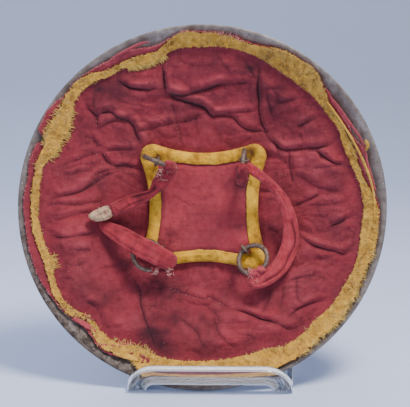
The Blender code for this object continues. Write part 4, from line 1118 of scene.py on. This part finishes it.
# The cushion's outline: four sides that bow inwards between round corners, as points and outward normals
def cushionOutline():
    middle = cushion["half"] - cushion["corner"]
    flare = math.radians(cushion["flare"])
    endX = middle - cushion["corner"] * math.sin(flare)
    endZ = middle + cushion["corner"] * math.cos(flare)
    bow = math.tan(flare) * endX / 2
    share = 1 - 2 * np.arange(cushion["sideSteps"]) / cushion["sideSteps"]
    sidePoints = np.stack([endX * share, endZ - bow * (1 - share ** 2)], -1)
    sideNormals = np.stack([-math.tan(flare) * share, np.ones_like(share)], -1)
    sideNormals /= np.linalg.norm(sideNormals, axis=1)[:, None]
    steps = np.arange(cushion["cornerSteps"]) / cushion["cornerSteps"]
    angle = math.pi / 2 - flare + (math.pi / 2 + 2 * flare) * steps
    cornerNormals = np.stack([np.cos(angle), np.sin(angle)], -1)
    cornerPoints = np.array([-middle, middle]) + cornerNormals * cushion["corner"]
    points, normals = np.concatenate([sidePoints, cornerPoints]), np.concatenate([sideNormals, cornerNormals])
    allPoints, allNormals = [], []
    for turn in range(4):
        allPoints.append(points)
        allNormals.append(normals)
        points = np.stack([-points[:, 1], points[:, 0]], -1)
        normals = np.stack([-normals[:, 1], normals[:, 0]], -1)
    points = np.concatenate(allPoints)
    corner = cushion["bluntCorner"]
    pulled = np.exp(-np.sum((points - corner["at"]) ** 2, 1) / corner["reach"] ** 2)
    return points + pulled[:, None] * corner["pull"], np.concatenate(allNormals)


def cornerDimple(x, z, depth, size):
    dimple = 0
    for corner in corners.values():
        away = (x - corner["spot"][0]) ** 2 + (z - corner["spot"][1]) ** 2
        dimple = dimple + depth * np.exp(-away / size ** 2)
    return dimple


def cushionTop(x, z, share):
    crown = cushion["crown"] + (cushion["shoulder"] - cushion["crown"]) * share ** 3
    sag = 0.5 * smoothNoise(x / 17, z / 17, 0, 71) + 0.25 * creasedNoise(x / 11, z / 9, 0, 72)
    sag = sag + 0.12 * smoothNoise(x / 3.2, z / 3.2, 0, 73)
    crease = cushion["crease"]
    cx, cz = fromPhoto(*np.array([crease["from"], crease["to"]]).T, cushion["readHeight"])
    line = np.array([cx[1] - cx[0], cz[1] - cz[0]])
    long = np.linalg.norm(line)
    t = np.clip(((x - cx[0]) * line[0] + (z - cz[0]) * line[1]) / long ** 2, 0, 1)
    away = np.hypot(x - cx[0] - t * line[0], z - cz[0] - t * line[1])
    fading = np.sin(math.pi * np.clip(t * 0.9 + 0.05, 0, 1))
    sag = sag - crease["deep"] * np.exp(-(away / crease["wide"]) ** 2) * fading
    return cushion["seat"] + crown + sag - cornerDimple(x, z, 1.6, 9)


def makeCushion(material):
    outline, normals = cushionOutline()
    count = len(outline)
    shares = np.linspace(0.02, 1, cushion["rows"]) ** 0.85
    inner = outline - normals * (cushion["bandWidth"] - 0.6)
    places = inner[None] * shares[:, None, None]
    x, z = places[..., 0], places[..., 1]
    height = cushionTop(x, z, np.repeat(shares[:, None], count, 1))
    sewn = easeIn((shares - 0.86) / 0.14)[:, None]
    pucker = 0.5 * smoothNoise(outline[:, 0] / 3.4, outline[:, 1] / 3.4, 0, 74)
    height = height + sewn * (pucker - 0.9)
    grid = [seated(x, z, height)]
    px, py = photoPlace(x, z, cushion["readHeight"])
    soilAndShade = 0.25 * sewn + stained(px, py, cushionStains)
    soilAndShade = soilAndShade * (1 + 0.4 * smoothNoise(x / 4, z / 4, 0, 75))
    wearAndHighlight = 0.25 * np.clip(smoothNoise(x / 14, z / 14, 0, 76) + 0.2, 0, 1)
    soils, wears = [soilAndShade], [wearAndHighlight]
    seat = cushion["seat"]
    hidden = [                                                          # the side under the binding, the back
        (outline - normals * 9, seat + cushion["shoulder"] - 1.2),
        (outline - normals * 2.2, seat + cushion["edge"] - 0.6),
        (outline - normals * 1.8, seat + 0.2),
        (outline - normals * 20, seat + 0.05),
        (outline * 0.02, seat + 0.05),
    ]
    grid += [seated(edge[:, 0], edge[:, 1], np.full(count, height))[None] for edge, height in hidden]
    grid = np.concatenate(grid)
    for values in (soils, wears):
        values.append(np.full((len(hidden), count), 0.3))
    marks = {"soilAndShade": np.clip(np.concatenate(soils), 0, 1), "wearAndHighlight": np.clip(np.concatenate(wears), 0, 1)}
    piece = makeGridPiece("stuffed_cushion", [(grid, False, True, (1, 1))], material, marks)
    closePoles(piece, [0, len(grid) - 1], count)
    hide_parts("knuckle_pad")


def makeBand(material):
    outline, normals = cushionOutline()
    count = len(outline)
    along = np.concatenate([[0], np.cumsum(np.linalg.norm(np.diff(outline, axis=0), axis=1))])
    waver = 0.5 * smoothNoise(along / 9, 0, 0, 81) + 0.3 * smoothNoise(along / 3, 0, 0, 82)
    seat, shoulder, edge = cushion["seat"], cushion["shoulder"], cushion["edge"]
    width = cushion["bandWidth"]
    outer = smoothRun([(width, seat + shoulder + 1.0), (9.5, seat + shoulder + 1.6),
                       (6, seat + shoulder + 1.5), (2.6, seat + edge + 1.9), (0.7, seat + edge),
                       (0.1, seat + 2.6), (0.5, seat + 0.2)], 5)
    profile = np.concatenate([outer, (outer + np.array([0.9, -0.9]))[::-1]])
    profile[:, 0] = np.clip(profile[:, 0], 0, width + 0.6)
    grid, soils, wears = [], [], []
    for i, (inset, height) in enumerate(profile):
        isOuter = i < len(outer)
        places = outline - normals * (inset + (waver * easeIn((inset - 7) / 5)))[:, None]
        middle = cushion["half"] - cushion["corner"]
        diagonal = np.where(places < 0, -1, 1)
        toCorner = np.linalg.norm(places - diagonal * middle, axis=1)
        fill = cushion["cornerFill"] * np.exp(-(toCorner / 13) ** 2) * easeIn((inset - 4) / 8)
        places = places - diagonal * fill[:, None]
        x, z = places[:, 0], places[:, 1]
        rumple = 0.55 * creasedNoise(along / 7, inset / 5, 0, 83)
        rumple = (rumple + 0.3 * smoothNoise(along / 2.4, inset / 3, 0, 84)) * easeIn((height - seat) / 4)
        dimple = cornerDimple(x, z, 1.5, 8) * easeIn((height - seat) / 5)
        grid.append(seated(x, z, np.maximum(height + rumple - dimple, seat + 0.1)))
        # Darker where the binding's rumples dip: painted shade in its hollows, with dirt at random, specks
        # and stains.
        dirtAndShade = 0.12 + 0.35 * smoothNoise(x / 6, z / 6, 0, 85) - 0.3 * rumple
        dirtAndShade = dirtAndShade + 0.3 * np.clip(smoothNoise(x / 1.7, z / 1.7, 0, 87) - 0.15, 0, 1) * 1.8
        dirtAndShade = dirtAndShade + stained(*photoPlace(x, z, cushion["bandReadHeight"]), bandStains)
        soils.append(dirtAndShade if isOuter else dirtAndShade + 0.3)
        wears.append(0.2 + 0.4 * smoothNoise(x / 8, z / 8, 0, 86))
    grid = np.stack(grid)
    marks = {"soilAndShade": np.clip(np.stack(soils), 0, 1), "wearAndHighlight": np.clip(np.stack(wears), 0, 1)}
    unit = (along[-1] / count * metres, 20 / len(outer) * metres)
    piece = makeGridPiece("cushion_binding", [(grid, True, True, unit)], material, marks)
    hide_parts("pad_binding")


hardware = {
    "ringOuter": 35.5, "ringWire": 4.8, "ringSides": 20, "ringSteps": 110,
    "eyeWire": 2.6, "eyeBore": 6.2, "eyeLift": 1.5, "eyeFollow": 0.6,
    "pinEnd": 3, "pinSides": 14, "pinUneven": 0.05, "legSteps": 14, "loopSteps": 49, "loopGap": 0.28,
    "legWire": 0.8, "legApart": 0.72,                                   # shares of the eye's wire
    "bossRadius": 15, "bossHeight": 8, "bossWall": 1.3, "bossFit": 0.3, "bossSides": 56,
}
ringRadius = (hardware["ringOuter"] - hardware["ringWire"]) / 2
eyeRadius = (hardware["eyeBore"] + hardware["eyeWire"]) / 2


def plateNormal(x, z):
    return Vector((-x, -(float(depthAt(x, z, 0)) + sphereSet), -z / plate["heightShare"])).normalized()


def pinPlace(corner):
    x, z = corner["spot"]
    normal = plateNormal(x, z)
    foot = Vector((x, float(depthAt(x, z, 0)), z))
    lift = cushion["seat"] + cushion["shoulder"] + hardware["eyeLift"] + hardware["eyeWire"] / 2
    return foot, normal, foot + normal * lift


# The eye leans a little towards the run of the ring's wire, which passes through its middle
def eyePlace(corner):
    foot, normal, neck = pinPlace(corner)
    dropX, dropZ = corner["drop"]
    rise = math.sqrt(ringRadius ** 2 - dropX ** 2 - dropZ ** 2)
    spoke = Vector((dropX, -rise, dropZ)).normalized()
    if corner["onEdge"]:
        across = spoke.cross(Vector((0, 1, 0))).normalized()
    else:
        across = spoke.cross(spoke.cross(normal)).normalized()
    wireRun = across.cross(spoke)
    upright = (wireRun - normal * wireRun.dot(normal)).normalized()
    loopAxis = upright.lerp(wireRun, hardware["eyeFollow"]).normalized()
    rising = (normal - loopAxis * normal.dot(loopAxis)).normalized()
    return neck + rising * eyeRadius, loopAxis, rising, spoke, across


# A round wire along a run of points, slightly uneven as forged
def wireGrid(path, radius, sides, closed, seed, uneven=0.03):           # uneven is a share of the radius
    path = np.asarray(path, float)
    if closed:
        along = np.roll(path, -1, 0) - np.roll(path, 1, 0)
    else:
        along = np.gradient(path, axis=0)
    along /= np.linalg.norm(along, axis=1)[:, None]
    flat = np.cross(along, np.cross(path[len(path) // 3] - path[0], path[2 * len(path) // 3] - path[0]))
    if np.linalg.norm(flat, axis=1).min() < 1e-6:
        flat = np.cross(along, [0.3, 0.9, 0.2])
    flat /= np.linalg.norm(flat, axis=1)[:, None]
    other = np.cross(along, flat)
    turn = np.arange(sides) * fullTurn / sides
    ring = flat[:, None] * np.cos(turn)[:, None] + other[:, None] * np.sin(turn)[:, None]
    size = np.asarray(radius, float) * np.ones(len(path))
    grid = path[:, None] + ring * size[:, None, None]
    lump = smoothNoise(grid[..., 0] / 5.2, grid[..., 1] / 5.2, grid[..., 2] / 5.2, seed)
    lump = lump + 0.5 * smoothNoise(grid[..., 0] / 0.8, grid[..., 1] / 0.8, grid[..., 2] / 0.8, seed + 1)
    return grid + ring * (lump * uneven * size[:, None])[..., None]


def circlePath(middle, start, side, radius, steps, first=0.0, last=fullTurn):
    angle = first + (last - first) * np.arange(steps) / steps
    return (np.array(middle) + np.cos(angle)[:, None] * np.array(start) * radius
            + np.sin(angle)[:, None] * np.array(side) * radius)


def makeRingsAndEyes(iron):
    for seed, (name, corner) in enumerate(corners.items()):
        eyeMiddle, loopAxis, rising, spoke, across = eyePlace(corner)
        middle = eyeMiddle + spoke * ringRadius
        path = circlePath(middle, spoke, across.cross(spoke), ringRadius, hardware["ringSteps"])
        wire = wireGrid(path, hardware["ringWire"] / 2, hardware["ringSides"], True, 90 + seed)
        ring = makeGridPiece("iron_ring_" + name, [(wire, True, True, (1, 1))], iron)
        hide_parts("grip_ring_" + name)
        makeSplitPin(name, corner, iron, seed)


# A pin of half-round wire doubled into a loop, its two legs side by side through everything behind it
def makeSplitPin(name, corner, iron, seed):
    foot, normal, neck = pinPlace(corner)
    eyeMiddle, loopAxis, rising, spoke, across = eyePlace(corner)
    side = loopAxis.cross(rising).normalized()
    gap, loopSteps, legSteps = hardware["loopGap"], hardware["loopSteps"], hardware["legSteps"]
    loop = circlePath(eyeMiddle, -rising, side, eyeRadius, loopSteps, gap, fullTurn - gap)
    wire = hardware["eyeWire"] / 2
    tip = np.array(foot - normal * (plate["wall"] + hardware["pinEnd"]))
    legs = []
    for sign in (1, -1):
        top = np.array(neck) + sign * np.array(side) * wire * hardware["legApart"]
        bottom = tip + sign * np.array(side) * wire * hardware["legApart"]
        share = np.linspace(0, 1, legSteps)[:, None]
        legs.append(top * (1 - share) + bottom * share)
    path = np.concatenate([legs[0][::-1], loop, legs[1]])
    legSize = np.full(legSteps, wire * hardware["legWire"])
    size = np.concatenate([legSize, np.full(loopSteps, wire), legSize])
    grid = closeEnds(wireGrid(path, size, hardware["pinSides"], False, 95 + seed, hardware["pinUneven"]))
    pin = makeGridPiece("iron_split_pin_" + name, [(grid, False, True, (1, 1))], iron)
    weldPoles(pin)
    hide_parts("ring_eye_" + name)


# Joins points that lie on each other, as at the ends of a wire
def weldPoles(piece):
    shape = bmesh.new()
    shape.from_mesh(piece.data)
    bmesh.ops.remove_doubles(shape, verts=shape.verts, dist=1e-6)
    bmesh.ops.recalc_face_normals(shape, faces=shape.faces)
    for face in shape.faces:
        face.smooth = True
    shape.to_mesh(piece.data)
    shape.free()


def makeBosses(material):
    for name, corner in corners.items():
        foot, normal, neck = pinPlace(corner)
        outward = np.array(-normal)
        seat = np.array(foot) + outward * plate["wall"]
        brim = hardware["bossRadius"] * 0.72
        seatHeight = hardware["bossFit"] - brim ** 2 / (2 * outerSphere)
        rise, wide, wall = hardware["bossHeight"], hardware["bossRadius"], hardware["bossWall"]
        outer = smoothRun([(0.02, rise), (wide * 0.22, rise * 0.965), (wide * 0.45, rise * 0.82),
                           (brim, rise * 0.35), (wide * 0.8, seatHeight + wall + 0.5),
                           (wide - 0.5, seatHeight + wall), (wide, seatHeight + wall * 0.5),
                           (wide - 0.3, seatHeight)], 5)
        inner = smoothRun([(brim - wall, seatHeight), (wide * 0.4, rise * 0.82 - wall),
                           (0.02, rise - wall)], 6)
        profile = np.concatenate([outer, inner])
        side = np.array(Vector(outward).orthogonal().normalized())
        other = np.cross(outward, side)
        angle = np.arange(hardware["bossSides"]) * fullTurn / hardware["bossSides"]
        petals = 1 + 0.012 * np.cos(8 * angle) * (profile[:, :1] > brim)
        around = side * np.cos(angle)[:, None] + other * np.sin(angle)[:, None]
        grid = (seat + outward * profile[:, 1][:, None, None]
                + around[None] * (profile[:, :1] * petals)[..., None])
        boss = makeGridPiece("domed_boss_" + name, [(grid, False, True, (1, 1))], material)
        closePoles(boss, [0, len(profile) - 1], len(angle))
        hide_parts("boss_" + name)


# Straps by places on their middle line in mm: right, up, behind the rim, width and thickness.
# Creases are (angle round the section, depth, width in degrees, from, to along the strap).
# Wraps go round a ring's wire from one angle to another, in degrees from the point opposite its eye.
strapSides = 48
straps = {
    "right": {
        "node": "grip_strap_right", "flat": 0.62, "sag": 0.38, "seed": 101, "grime": 0.02, "rubbed": 0.2,
        "route": [(44, 42, 10, 7, 6), (48, 39.5, 9, 10, 8), (54, 35.5, 9, 10, 7.5), (62, 29.5, 13, 9.5, 7),
                  (71, 21.5, 17, 9.5, 6.5), (79.5, 11, 20, 11, 6), (86, -3.5, 22, 13, 6),
                  (89.5, -21, 24, 15.5, 6.5), (88, -40, 24, 17, 6.5), (80.5, -57, 23, 17.5, 7),
                  (69.5, -68.5, 21, 16.5, 8.5), (59.5, -74, 19.5, 15.5, 10), (52, -74.5, 19.5, 14.5, 10.5),
                  (46, -73, 19.5, 12, 9)],
        "creases": [(104, 1.8, 6, 0.42, 0.97), (60, 0.5, 12, 0.1, 0.5), (130, 0.5, 14, 0.2, 0.7)],
        "wraps": [{"ring": "upper_right", "from": -34, "to": 96, "thick": 4.8, "wide": 1.15,
                   "soilAndShade": 0.5, "wearAndHighlight": 0},
                  {"ring": "lower_right", "from": -16, "to": 50, "thick": 4.2, "wide": 1.2,
                   "soilAndShade": 0.0, "wearAndHighlight": 0.7}],
    },
    "left_upper": {
        "node": "grip_strap_left_upper", "flat": 0.66, "sag": 0.8, "seed": 103, "grime": 0.28, "rubbed": 0,
        "route": [(-28, 44, 17, 9, 8), (-32, 39, 16, 14, 11), (-36, 33, 16, 15, 10), (-43, 25, 16, 15, 7),
                  (-51, 15, 18, 9, 6), (-60, 10, 21, 11, 7), (-72, 6, 23, 13, 8), (-85, 0, 24, 14, 9),
                  (-94, -4.5, 23, 14, 9)],
        "creases": [(80, 1.5, 14, 0.3, 0.75), (120, 1.0, 12, 0.45, 0.95), (55, 0.8, 12, 0.5, 1.0)],
        "wraps": [{"ring": "upper_left", "from": 12, "to": 118, "thick": 4.2, "wide": 1.3,
                   "soilAndShade": 0.3, "wearAndHighlight": 0.1}],
    },
    "left_lower": {
        "node": "grip_strap_left_lower", "flat": 0.6, "sag": 0.45, "seed": 105, "grime": 0.12, "rubbed": 0.05,
        "route": [(-106, -16, 28.5, 5, 3.5), (-98, -21, 27.5, 13, 4.5), (-84, -28, 22.5, 18, 5),
                  (-70, -35.5, 16, 19.5, 5), (-59, -41.5, 12, 20.5, 5.5), (-48, -47, 12.5, 20.5, 6),
                  (-40, -51.5, 17, 19.5, 9), (-33, -55, 22, 18, 10), (-27, -58, 25, 12, 7)],
        "creases": [(55, 0.7, 10, 0.05, 0.7), (128, 0.5, 12, 0.2, 0.8)],
        "wraps": [{"ring": "lower_left", "from": 222, "to": 292, "thick": 3.7, "wide": 1.2,
                   "soilAndShade": 0.2, "wearAndHighlight": 0.3}],
    },
    "left_stuffing": {
        "node": "grip_strap_left_stuffing", "flat": 0.8, "sag": 1.7, "seed": 107,
        "grime": 0.08, "rubbed": 0.05,
        "route": [(-92, -3.8, 23, 12, 7.5), (-96, -5, 22.5, 12.5, 7.5), (-101, -7, 21.5, 13, 7.5),
                  (-108, -8.5, 20.5, 11, 6.5), (-113, -9, 20, 7, 4.5), (-116, -9, 20, 4, 3)],
        "creases": [(90, 1.2, 16, 0.1, 0.8), (40, 1.0, 16, 0.3, 1.0), (140, 1.0, 14, 0.2, 0.9)],
    },
}


# Cloth wound round a ring's wire
def wrapGrid(wrap, seed):
    count = strapSides
    eyeMiddle, loopAxis, rising, spoke, across = eyePlace(corners[wrap["ring"]])
    middle = np.array(eyeMiddle + spoke * ringRadius)
    share = np.linspace(0, 1, 34)
    angle = np.radians(wrap["from"] + (wrap["to"] - wrap["from"]) * share)[:, None]
    outward = np.cos(angle) * np.array(spoke) + np.sin(angle) * np.array(across.cross(spoke))
    turn = np.arange(count) * fullTurn / count
    size = wrap["thick"] * (1 - np.abs(2 * share - 1) ** 7)[:, None] ** 0.5 + 0.05
    fold = smoothNoise(share[:, None] * 7, np.cos(turn) * 1.4, np.sin(turn) * 1.4, seed)
    fold = fold - 0.7 * creasedNoise(share[:, None] * 13, np.cos(turn) * 1.1, np.sin(turn) * 1.1, seed + 1)
    size = size * (1 + 0.22 * fold)
    grid = (middle + outward * ringRadius)[:, None] + outward[:, None] * (np.cos(turn) * size)[..., None]
    grid = closeEnds(grid + np.array(across) * (np.sin(turn) * size * wrap["wide"])[..., None])
    soilAndShade = np.full(grid.shape[:2], wrap["soilAndShade"])
    wearAndHighlight = np.full(grid.shape[:2], wrap["wearAndHighlight"], float)
    # Darker in the wrap's hollows and paler on its bulging folds: painted shade and painted highlight.
    soilAndShade[1:-1] -= 0.35 * fold
    wearAndHighlight[1:-1] += 0.3 * fold
    return grid, np.clip(soilAndShade, 0, 1), np.clip(wearAndHighlight, 0, 1)


def makeStrap(key, material):
    facts = straps[key]
    rows = smoothRun(facts["route"], 14)
    path, width, thick = rows[:, :3][:, [0, 2, 1]], rows[:, 3], rows[:, 4]
    along = np.gradient(path, axis=0)
    length = np.concatenate([[0], np.cumsum(np.linalg.norm(np.diff(path, axis=0), axis=1))])
    along /= np.linalg.norm(along, axis=1)[:, None]
    sideways = np.cross(along, [0, -1, 0])
    sideways /= np.linalg.norm(sideways, axis=1)[:, None]
    upwards = np.cross(sideways, along)
    turn = np.arange(strapSides) * fullTurn / strapSides
    squared = lambda v: np.sign(v) * np.abs(v) ** facts["flat"]
    share = (length / length[-1])[:, None]
    closing = np.minimum(1, np.sqrt(np.clip(np.minimum(length, length[-1] - length) / 3.0, 0.02, 1)))
    across = squared(np.cos(turn)) * (width * closing)[:, None] / 2
    high = squared(np.sin(turn)) * (thick * closing)[:, None] / 2
    dent = np.zeros(across.shape)
    degrees = np.degrees(turn)[None, :]
    for middle, depth, wide, start, end in facts["creases"]:
        window = easeIn((share - start) / 0.08) * easeIn((end - share) / 0.08)
        drift = middle + 12 * smoothNoise(length / 16, 0, 0, facts["seed"] + 3)[:, None]
        dent = dent + depth * window * np.exp(-((degrees - drift) / wide) ** 2)
    wrinkles = smoothNoise(length[:, None] / 5.5, np.cos(turn) * 1.3, np.sin(turn) * 1.3, facts["seed"])
    wrinkles = wrinkles + 0.6 * creasedNoise(length[:, None] / 3.2, np.cos(turn) * 1.6, np.sin(turn) * 1.6,
                                             facts["seed"] + 1)
    wrinkles = wrinkles + 0.3 * smoothNoise(length[:, None] / 1.5, np.cos(turn) * 4, np.sin(turn) * 4,
                                            facts["seed"] + 2)
    if key == "left_stuffing":
        wrinkles = wrinkles - 0.5 * creasedNoise(length[:, None] / 1.7, np.cos(turn) * 3.2,
                                                 np.sin(turn) * 3.2, 111)
    high = high - (dent - facts["sag"] * wrinkles) * np.sin(turn)
    across = across + 0.4 * facts["sag"] * wrinkles * np.cos(turn)
    grid = path[:, None] + sideways[:, None] * across[..., None] + upwards[:, None] * high[..., None]
    # Darker in the strap's creases and on its underside that faces the lining: painted shade, with real grime
    # and blotches.
    soilAndShade = facts["grime"] + 0.45 * dent + 0.25 * smoothNoise(grid[..., 0] / 8, grid[..., 2] / 8, 0, 110)
    soilAndShade = np.clip(soilAndShade, 0, 1) + 0.25 * (np.sin(turn) < -0.2)
    edges = np.exp(-((np.abs(np.cos(turn)) - 0.93) / 0.12) ** 2)
    # Paler on the raised wrinkles: painted highlight with rubbed wear; the edges are rubbed paler.
    wearAndHighlight = np.clip(facts["rubbed"] + 0.12 * edges + 0.25 * wrinkles, 0, 1)
    if key == "left_stuffing":
        soilAndShade = 0.5 * soilAndShade
    grid = closeEnds(grid)
    soilAndShade, wearAndHighlight = (np.concatenate([v[:1], v, v[-1:]]) for v in (np.clip(soilAndShade, 0, 1), wearAndHighlight))
    step = length[-1] / (len(length) - 1)
    bodies = [(grid, soilAndShade, np.clip(wearAndHighlight, 0, 1))]
    bodies += [wrapGrid(wrap, facts["seed"] + 20) for wrap in facts.get("wraps", [])]
    unit = (18 / strapSides * metres, step * metres)
    grids = [(body[0], False, True, unit) for body in bodies]
    piece = makeGridPiece("cloth_strap_" + key, grids, material, clothMarks(bodies))
    weldPoles(piece)
    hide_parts(facts["node"])


# The clear stand: one sheet cut to a round-cornered loop and bent, its edges slightly rounded by the flame
stand = {
    "width": 166, "shift": 9, "band": 19, "sheet": 8, "outerCorner": 28, "innerCorner": 9, "fit": 0.5,
    "lipLean": 19, "lipUnderside": 12.5, "rampAngle": 51, "top": 116, "rearReach": 88, "rearLength": 27,
    "footBend": 5.5, "topBend": 14, "rearBend": 9,
    "bendStep": 5, "runSteps": 6, "edgeRound": 1.1, "cornerSteps": 12,
    "edgeSteps": (2, 3, 4, 10, 11, 12),                                 # the section's steps on the cut edges
}


def leaned(depth, z):
    lean = math.radians(shieldPlace["lean"])
    up = shieldPlace["rimHeight"] + z * math.cos(lean) - depth * math.sin(lean)
    return z * math.sin(lean) + depth * math.cos(lean), up


# From the shield's middle line to the inner edge of the nearer arm
def nearestArm():
    return stand["width"] / 2 - stand["band"] - abs(stand["shift"])


def rampSupport():
    armInner = nearestArm()
    ramp = math.radians(stand["rampAngle"])
    z = -plate["rimRadius"] * plate["heightShare"] * np.arange(180) / 180
    radius = np.hypot(armInner, z / plate["heightShare"])
    z, radius = z[radius < plate["rimRadius"]], radius[radius < plate["rimRadius"]]
    back, up = leaned(np.sqrt(outerSphere ** 2 - radius ** 2) - sphereSet, z)
    return (back * math.sin(ramp) - up * math.cos(ramp)).max()


def standBends():
    half = stand["sheet"] / 2
    lean, lip, ramp = (math.radians(v) for v in (shieldPlace["lean"], stand["lipLean"], stand["rampAngle"]))
    rimZ = (stand["lipUnderside"] - shieldPlace["rimHeight"]) / math.cos(lean)
    armRimZ = -plate["heightShare"] * math.sqrt(plate["rimRadius"] ** 2 - nearestArm() ** 2)
    armRimBack, armRimUp = leaned(0, armRimZ)
    atArm = armRimBack - (stand["lipUnderside"] - armRimUp) * math.tan(lip)
    lipBack = min(rimZ * math.sin(lean), atArm) - stand["fit"] / math.cos(lip)
    lipRun = Vector((math.sin(lip), -math.cos(lip)))
    lipLow = Vector((lipBack, stand["lipUnderside"]))
    lipLow -= Vector((math.cos(lip), math.sin(lip))) * half
    reach = rampSupport() + stand["fit"] + half
    points = [lipLow - lipRun * stand["band"], lipLow + lipRun * (lipLow.y - half) / math.cos(lip)]
    for up in (half, stand["top"]):
        points.append(Vector(((reach + up * math.cos(ramp)) / math.sin(ramp), up)))
    points.append(Vector((stand["rearReach"], half)))
    points.append(Vector((stand["rearReach"] + stand["rearLength"], half)))
    return points, [0, stand["footBend"], stand["footBend"], stand["topBend"], stand["rearBend"], 0]


# Straight runs and arcs of the bent line as (kind, start, direction, length, radius)
def bentLine():
    points, radii = standBends()
    pieces, place = [], points[0]
    for i in range(1, len(points)):
        run = (points[i] - points[i - 1]).normalized()
        trim, turn = 0, 0
        if i < len(points) - 1:
            after = (points[i + 1] - points[i]).normalized()
            turn = math.atan2(run.x * after.y - run.y * after.x, run.dot(after))
            trim = radii[i] * math.tan(abs(turn) / 2)
        end = points[i] - run * trim
        pieces.append(("run", place, run, (end - place).length, 0))
        if turn:
            pieces.append(("arc", end, run, radii[i] * abs(turn), math.copysign(radii[i], turn)))
            place = points[i] + after * trim
    return pieces


def alongLine(pieces, distance):
    for i, (kind, start, run, length, radius) in enumerate(pieces):
        if distance <= length or i == len(pieces) - 1:
            break
        distance -= length
    left = Vector((-run.y, run.x))
    if kind == "run":
        return start + run * distance, left
    angle = distance / radius
    normal = left * math.cos(angle) - run * math.sin(angle)
    return start + left * radius - normal * radius, normal


def makeStand(material, edgeMaterial):
    pieces = bentLine()
    half, band = stand["width"] / 2, stand["band"]
    distances, total = [], 0
    for kind, start, run, length, radius in pieces:
        steps = stand["runSteps"]
        if kind == "arc":
            steps = math.ceil(length / abs(radius) / math.radians(stand["bendStep"]))
        distances += [total + length * k / steps for k in range(steps)]
        total += length
    innerEnd = band + stand["innerCorner"]
    arm = [d for d in distances if innerEnd < d < total - innerEnd]
    corner = []
    for i in range(stand["cornerSteps"] + 1):
        angle = math.pi / 2 * i / stand["cornerSteps"]
        inwards, along = 1 - math.sin(angle), 1 - math.cos(angle)
        outer, inner = stand["outerCorner"], stand["innerCorner"]
        corner.append(((half - outer * inwards, outer * along),
                       (half - band - inner * inwards, band + inner * along)))
    right = corner + [((half, d), (half - band, d)) for d in arm]
    right += [tuple((x, total - d) for x, d in pair) for pair in reversed(corner)]
    left = [tuple((-x, d) for x, d in pair) for pair in reversed(right)]
    stations = right + left
    curve, sheet = stand["edgeRound"], stand["sheet"] / 2
    section = []
    for side, edge in ((1, 1), (-1, 1), (-1, 0), (1, 0)):
        for k in range(4):
            turn = math.pi / 2 * k / 3
            if (side, edge) in ((-1, 1), (1, 0)):
                turn = math.pi / 2 - turn
            inset = curve * (1 - math.cos(turn))
            drop = curve * (1 - math.sin(turn))
            section.append((edge, inset, side * (sheet - drop)))
    grid = []
    for outer, inner in stations:
        outer, inner = Vector(outer), Vector(inner)
        across = (inner - outer).normalized()
        row = []
        for edge, inset, height in section:
            place = outer + across * inset if edge else inner - across * inset
            middle, normal = alongLine(pieces, place.y)
            point = middle + normal * height
            row.append((place.x + stand["shift"], point.x + shieldPlace["back"], point.y))
        grid.append(row)
    piece = makeGridPiece("bent_acrylic_stand", [(np.array(grid), True, True, (1, 1))], material, local=False)
    piece.data.materials.append(edgeMaterial)
    onEdge = np.tile(np.isin(np.arange(len(section)), stand["edgeSteps"]).astype(np.int32), len(grid))
    piece.data.polygons.foreach_set("material_index", onEdge)
    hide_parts("display_stand")


def makeScene():
    makeCamera()
    makeStudio()
    print("stage: camera, backdrop and lights")
    steel, iron, acrylic = makeSteel(), makeIron(), makeAcrylic()
    quiltCloth, cushionCloth = makeCotton("quilt"), makeCotton("cushion")
    strapCloth, ribbonCloth = makeCotton("strap", True), makeCotton("ribbon", True)
    bandCloth, rawCotton = makeCotton("binding", True), makeCotton("raw")
    yellowThread = makeThreadMaterial("spun yellow cotton thread", "#efc85f")
    strawThread = makeThreadMaterial("loose straw-coloured fibre", "#f2cd74")
    pinkThread = makeThreadMaterial("faded red cotton thread", "#d9888a")
    paleThread = makeThreadMaterial("undyed sewing thread", "#d39a92")
    print("stage: materials")
    makeBowl(steel)
    makeBosses(steel)
    makeQuilt(quiltCloth)
    print("stage: plate and quilted lining")
    makeRibbon(ribbonCloth)
    runs, radii = frayRuns(frays, 7)
    makeThreads("ribbon_frayed_threads", runs, radii, yellowThread)
    runs, radii = frayRuns(pinkFrays, 8)
    makeThreads("lining_frayed_threads", runs, radii, pinkThread)
    runs, radii = fuzzRuns(9)
    makeThreads("ribbon_fuzz", runs, radii, strawThread)
    runs, radii = stitchRuns(10)
    makeThreads("stitches_and_lint", runs, radii, paleThread)
    print("stage: ribbon and its threads")
    makeCushion(cushionCloth)
    makeBand(bandCloth)
    print("stage: cushion")
    makeRingsAndEyes(iron)
    makeStrap("right", strapCloth)
    makeStrap("left_upper", strapCloth)
    makeStrap("left_lower", strapCloth)
    makeStrap("left_stuffing", rawCotton)
    runs, radii = tuftRuns(11)
    makeThreads("strap_end_tufts", runs, radii, makeThreadMaterial("frayed strap cotton", "#f0b8a8"))
    print("stage: rings and straps")
    makeStand(acrylic, makeSawnAcrylic())
    print("stage: stand")


makeScene()
bpy.context.view_layer.update()
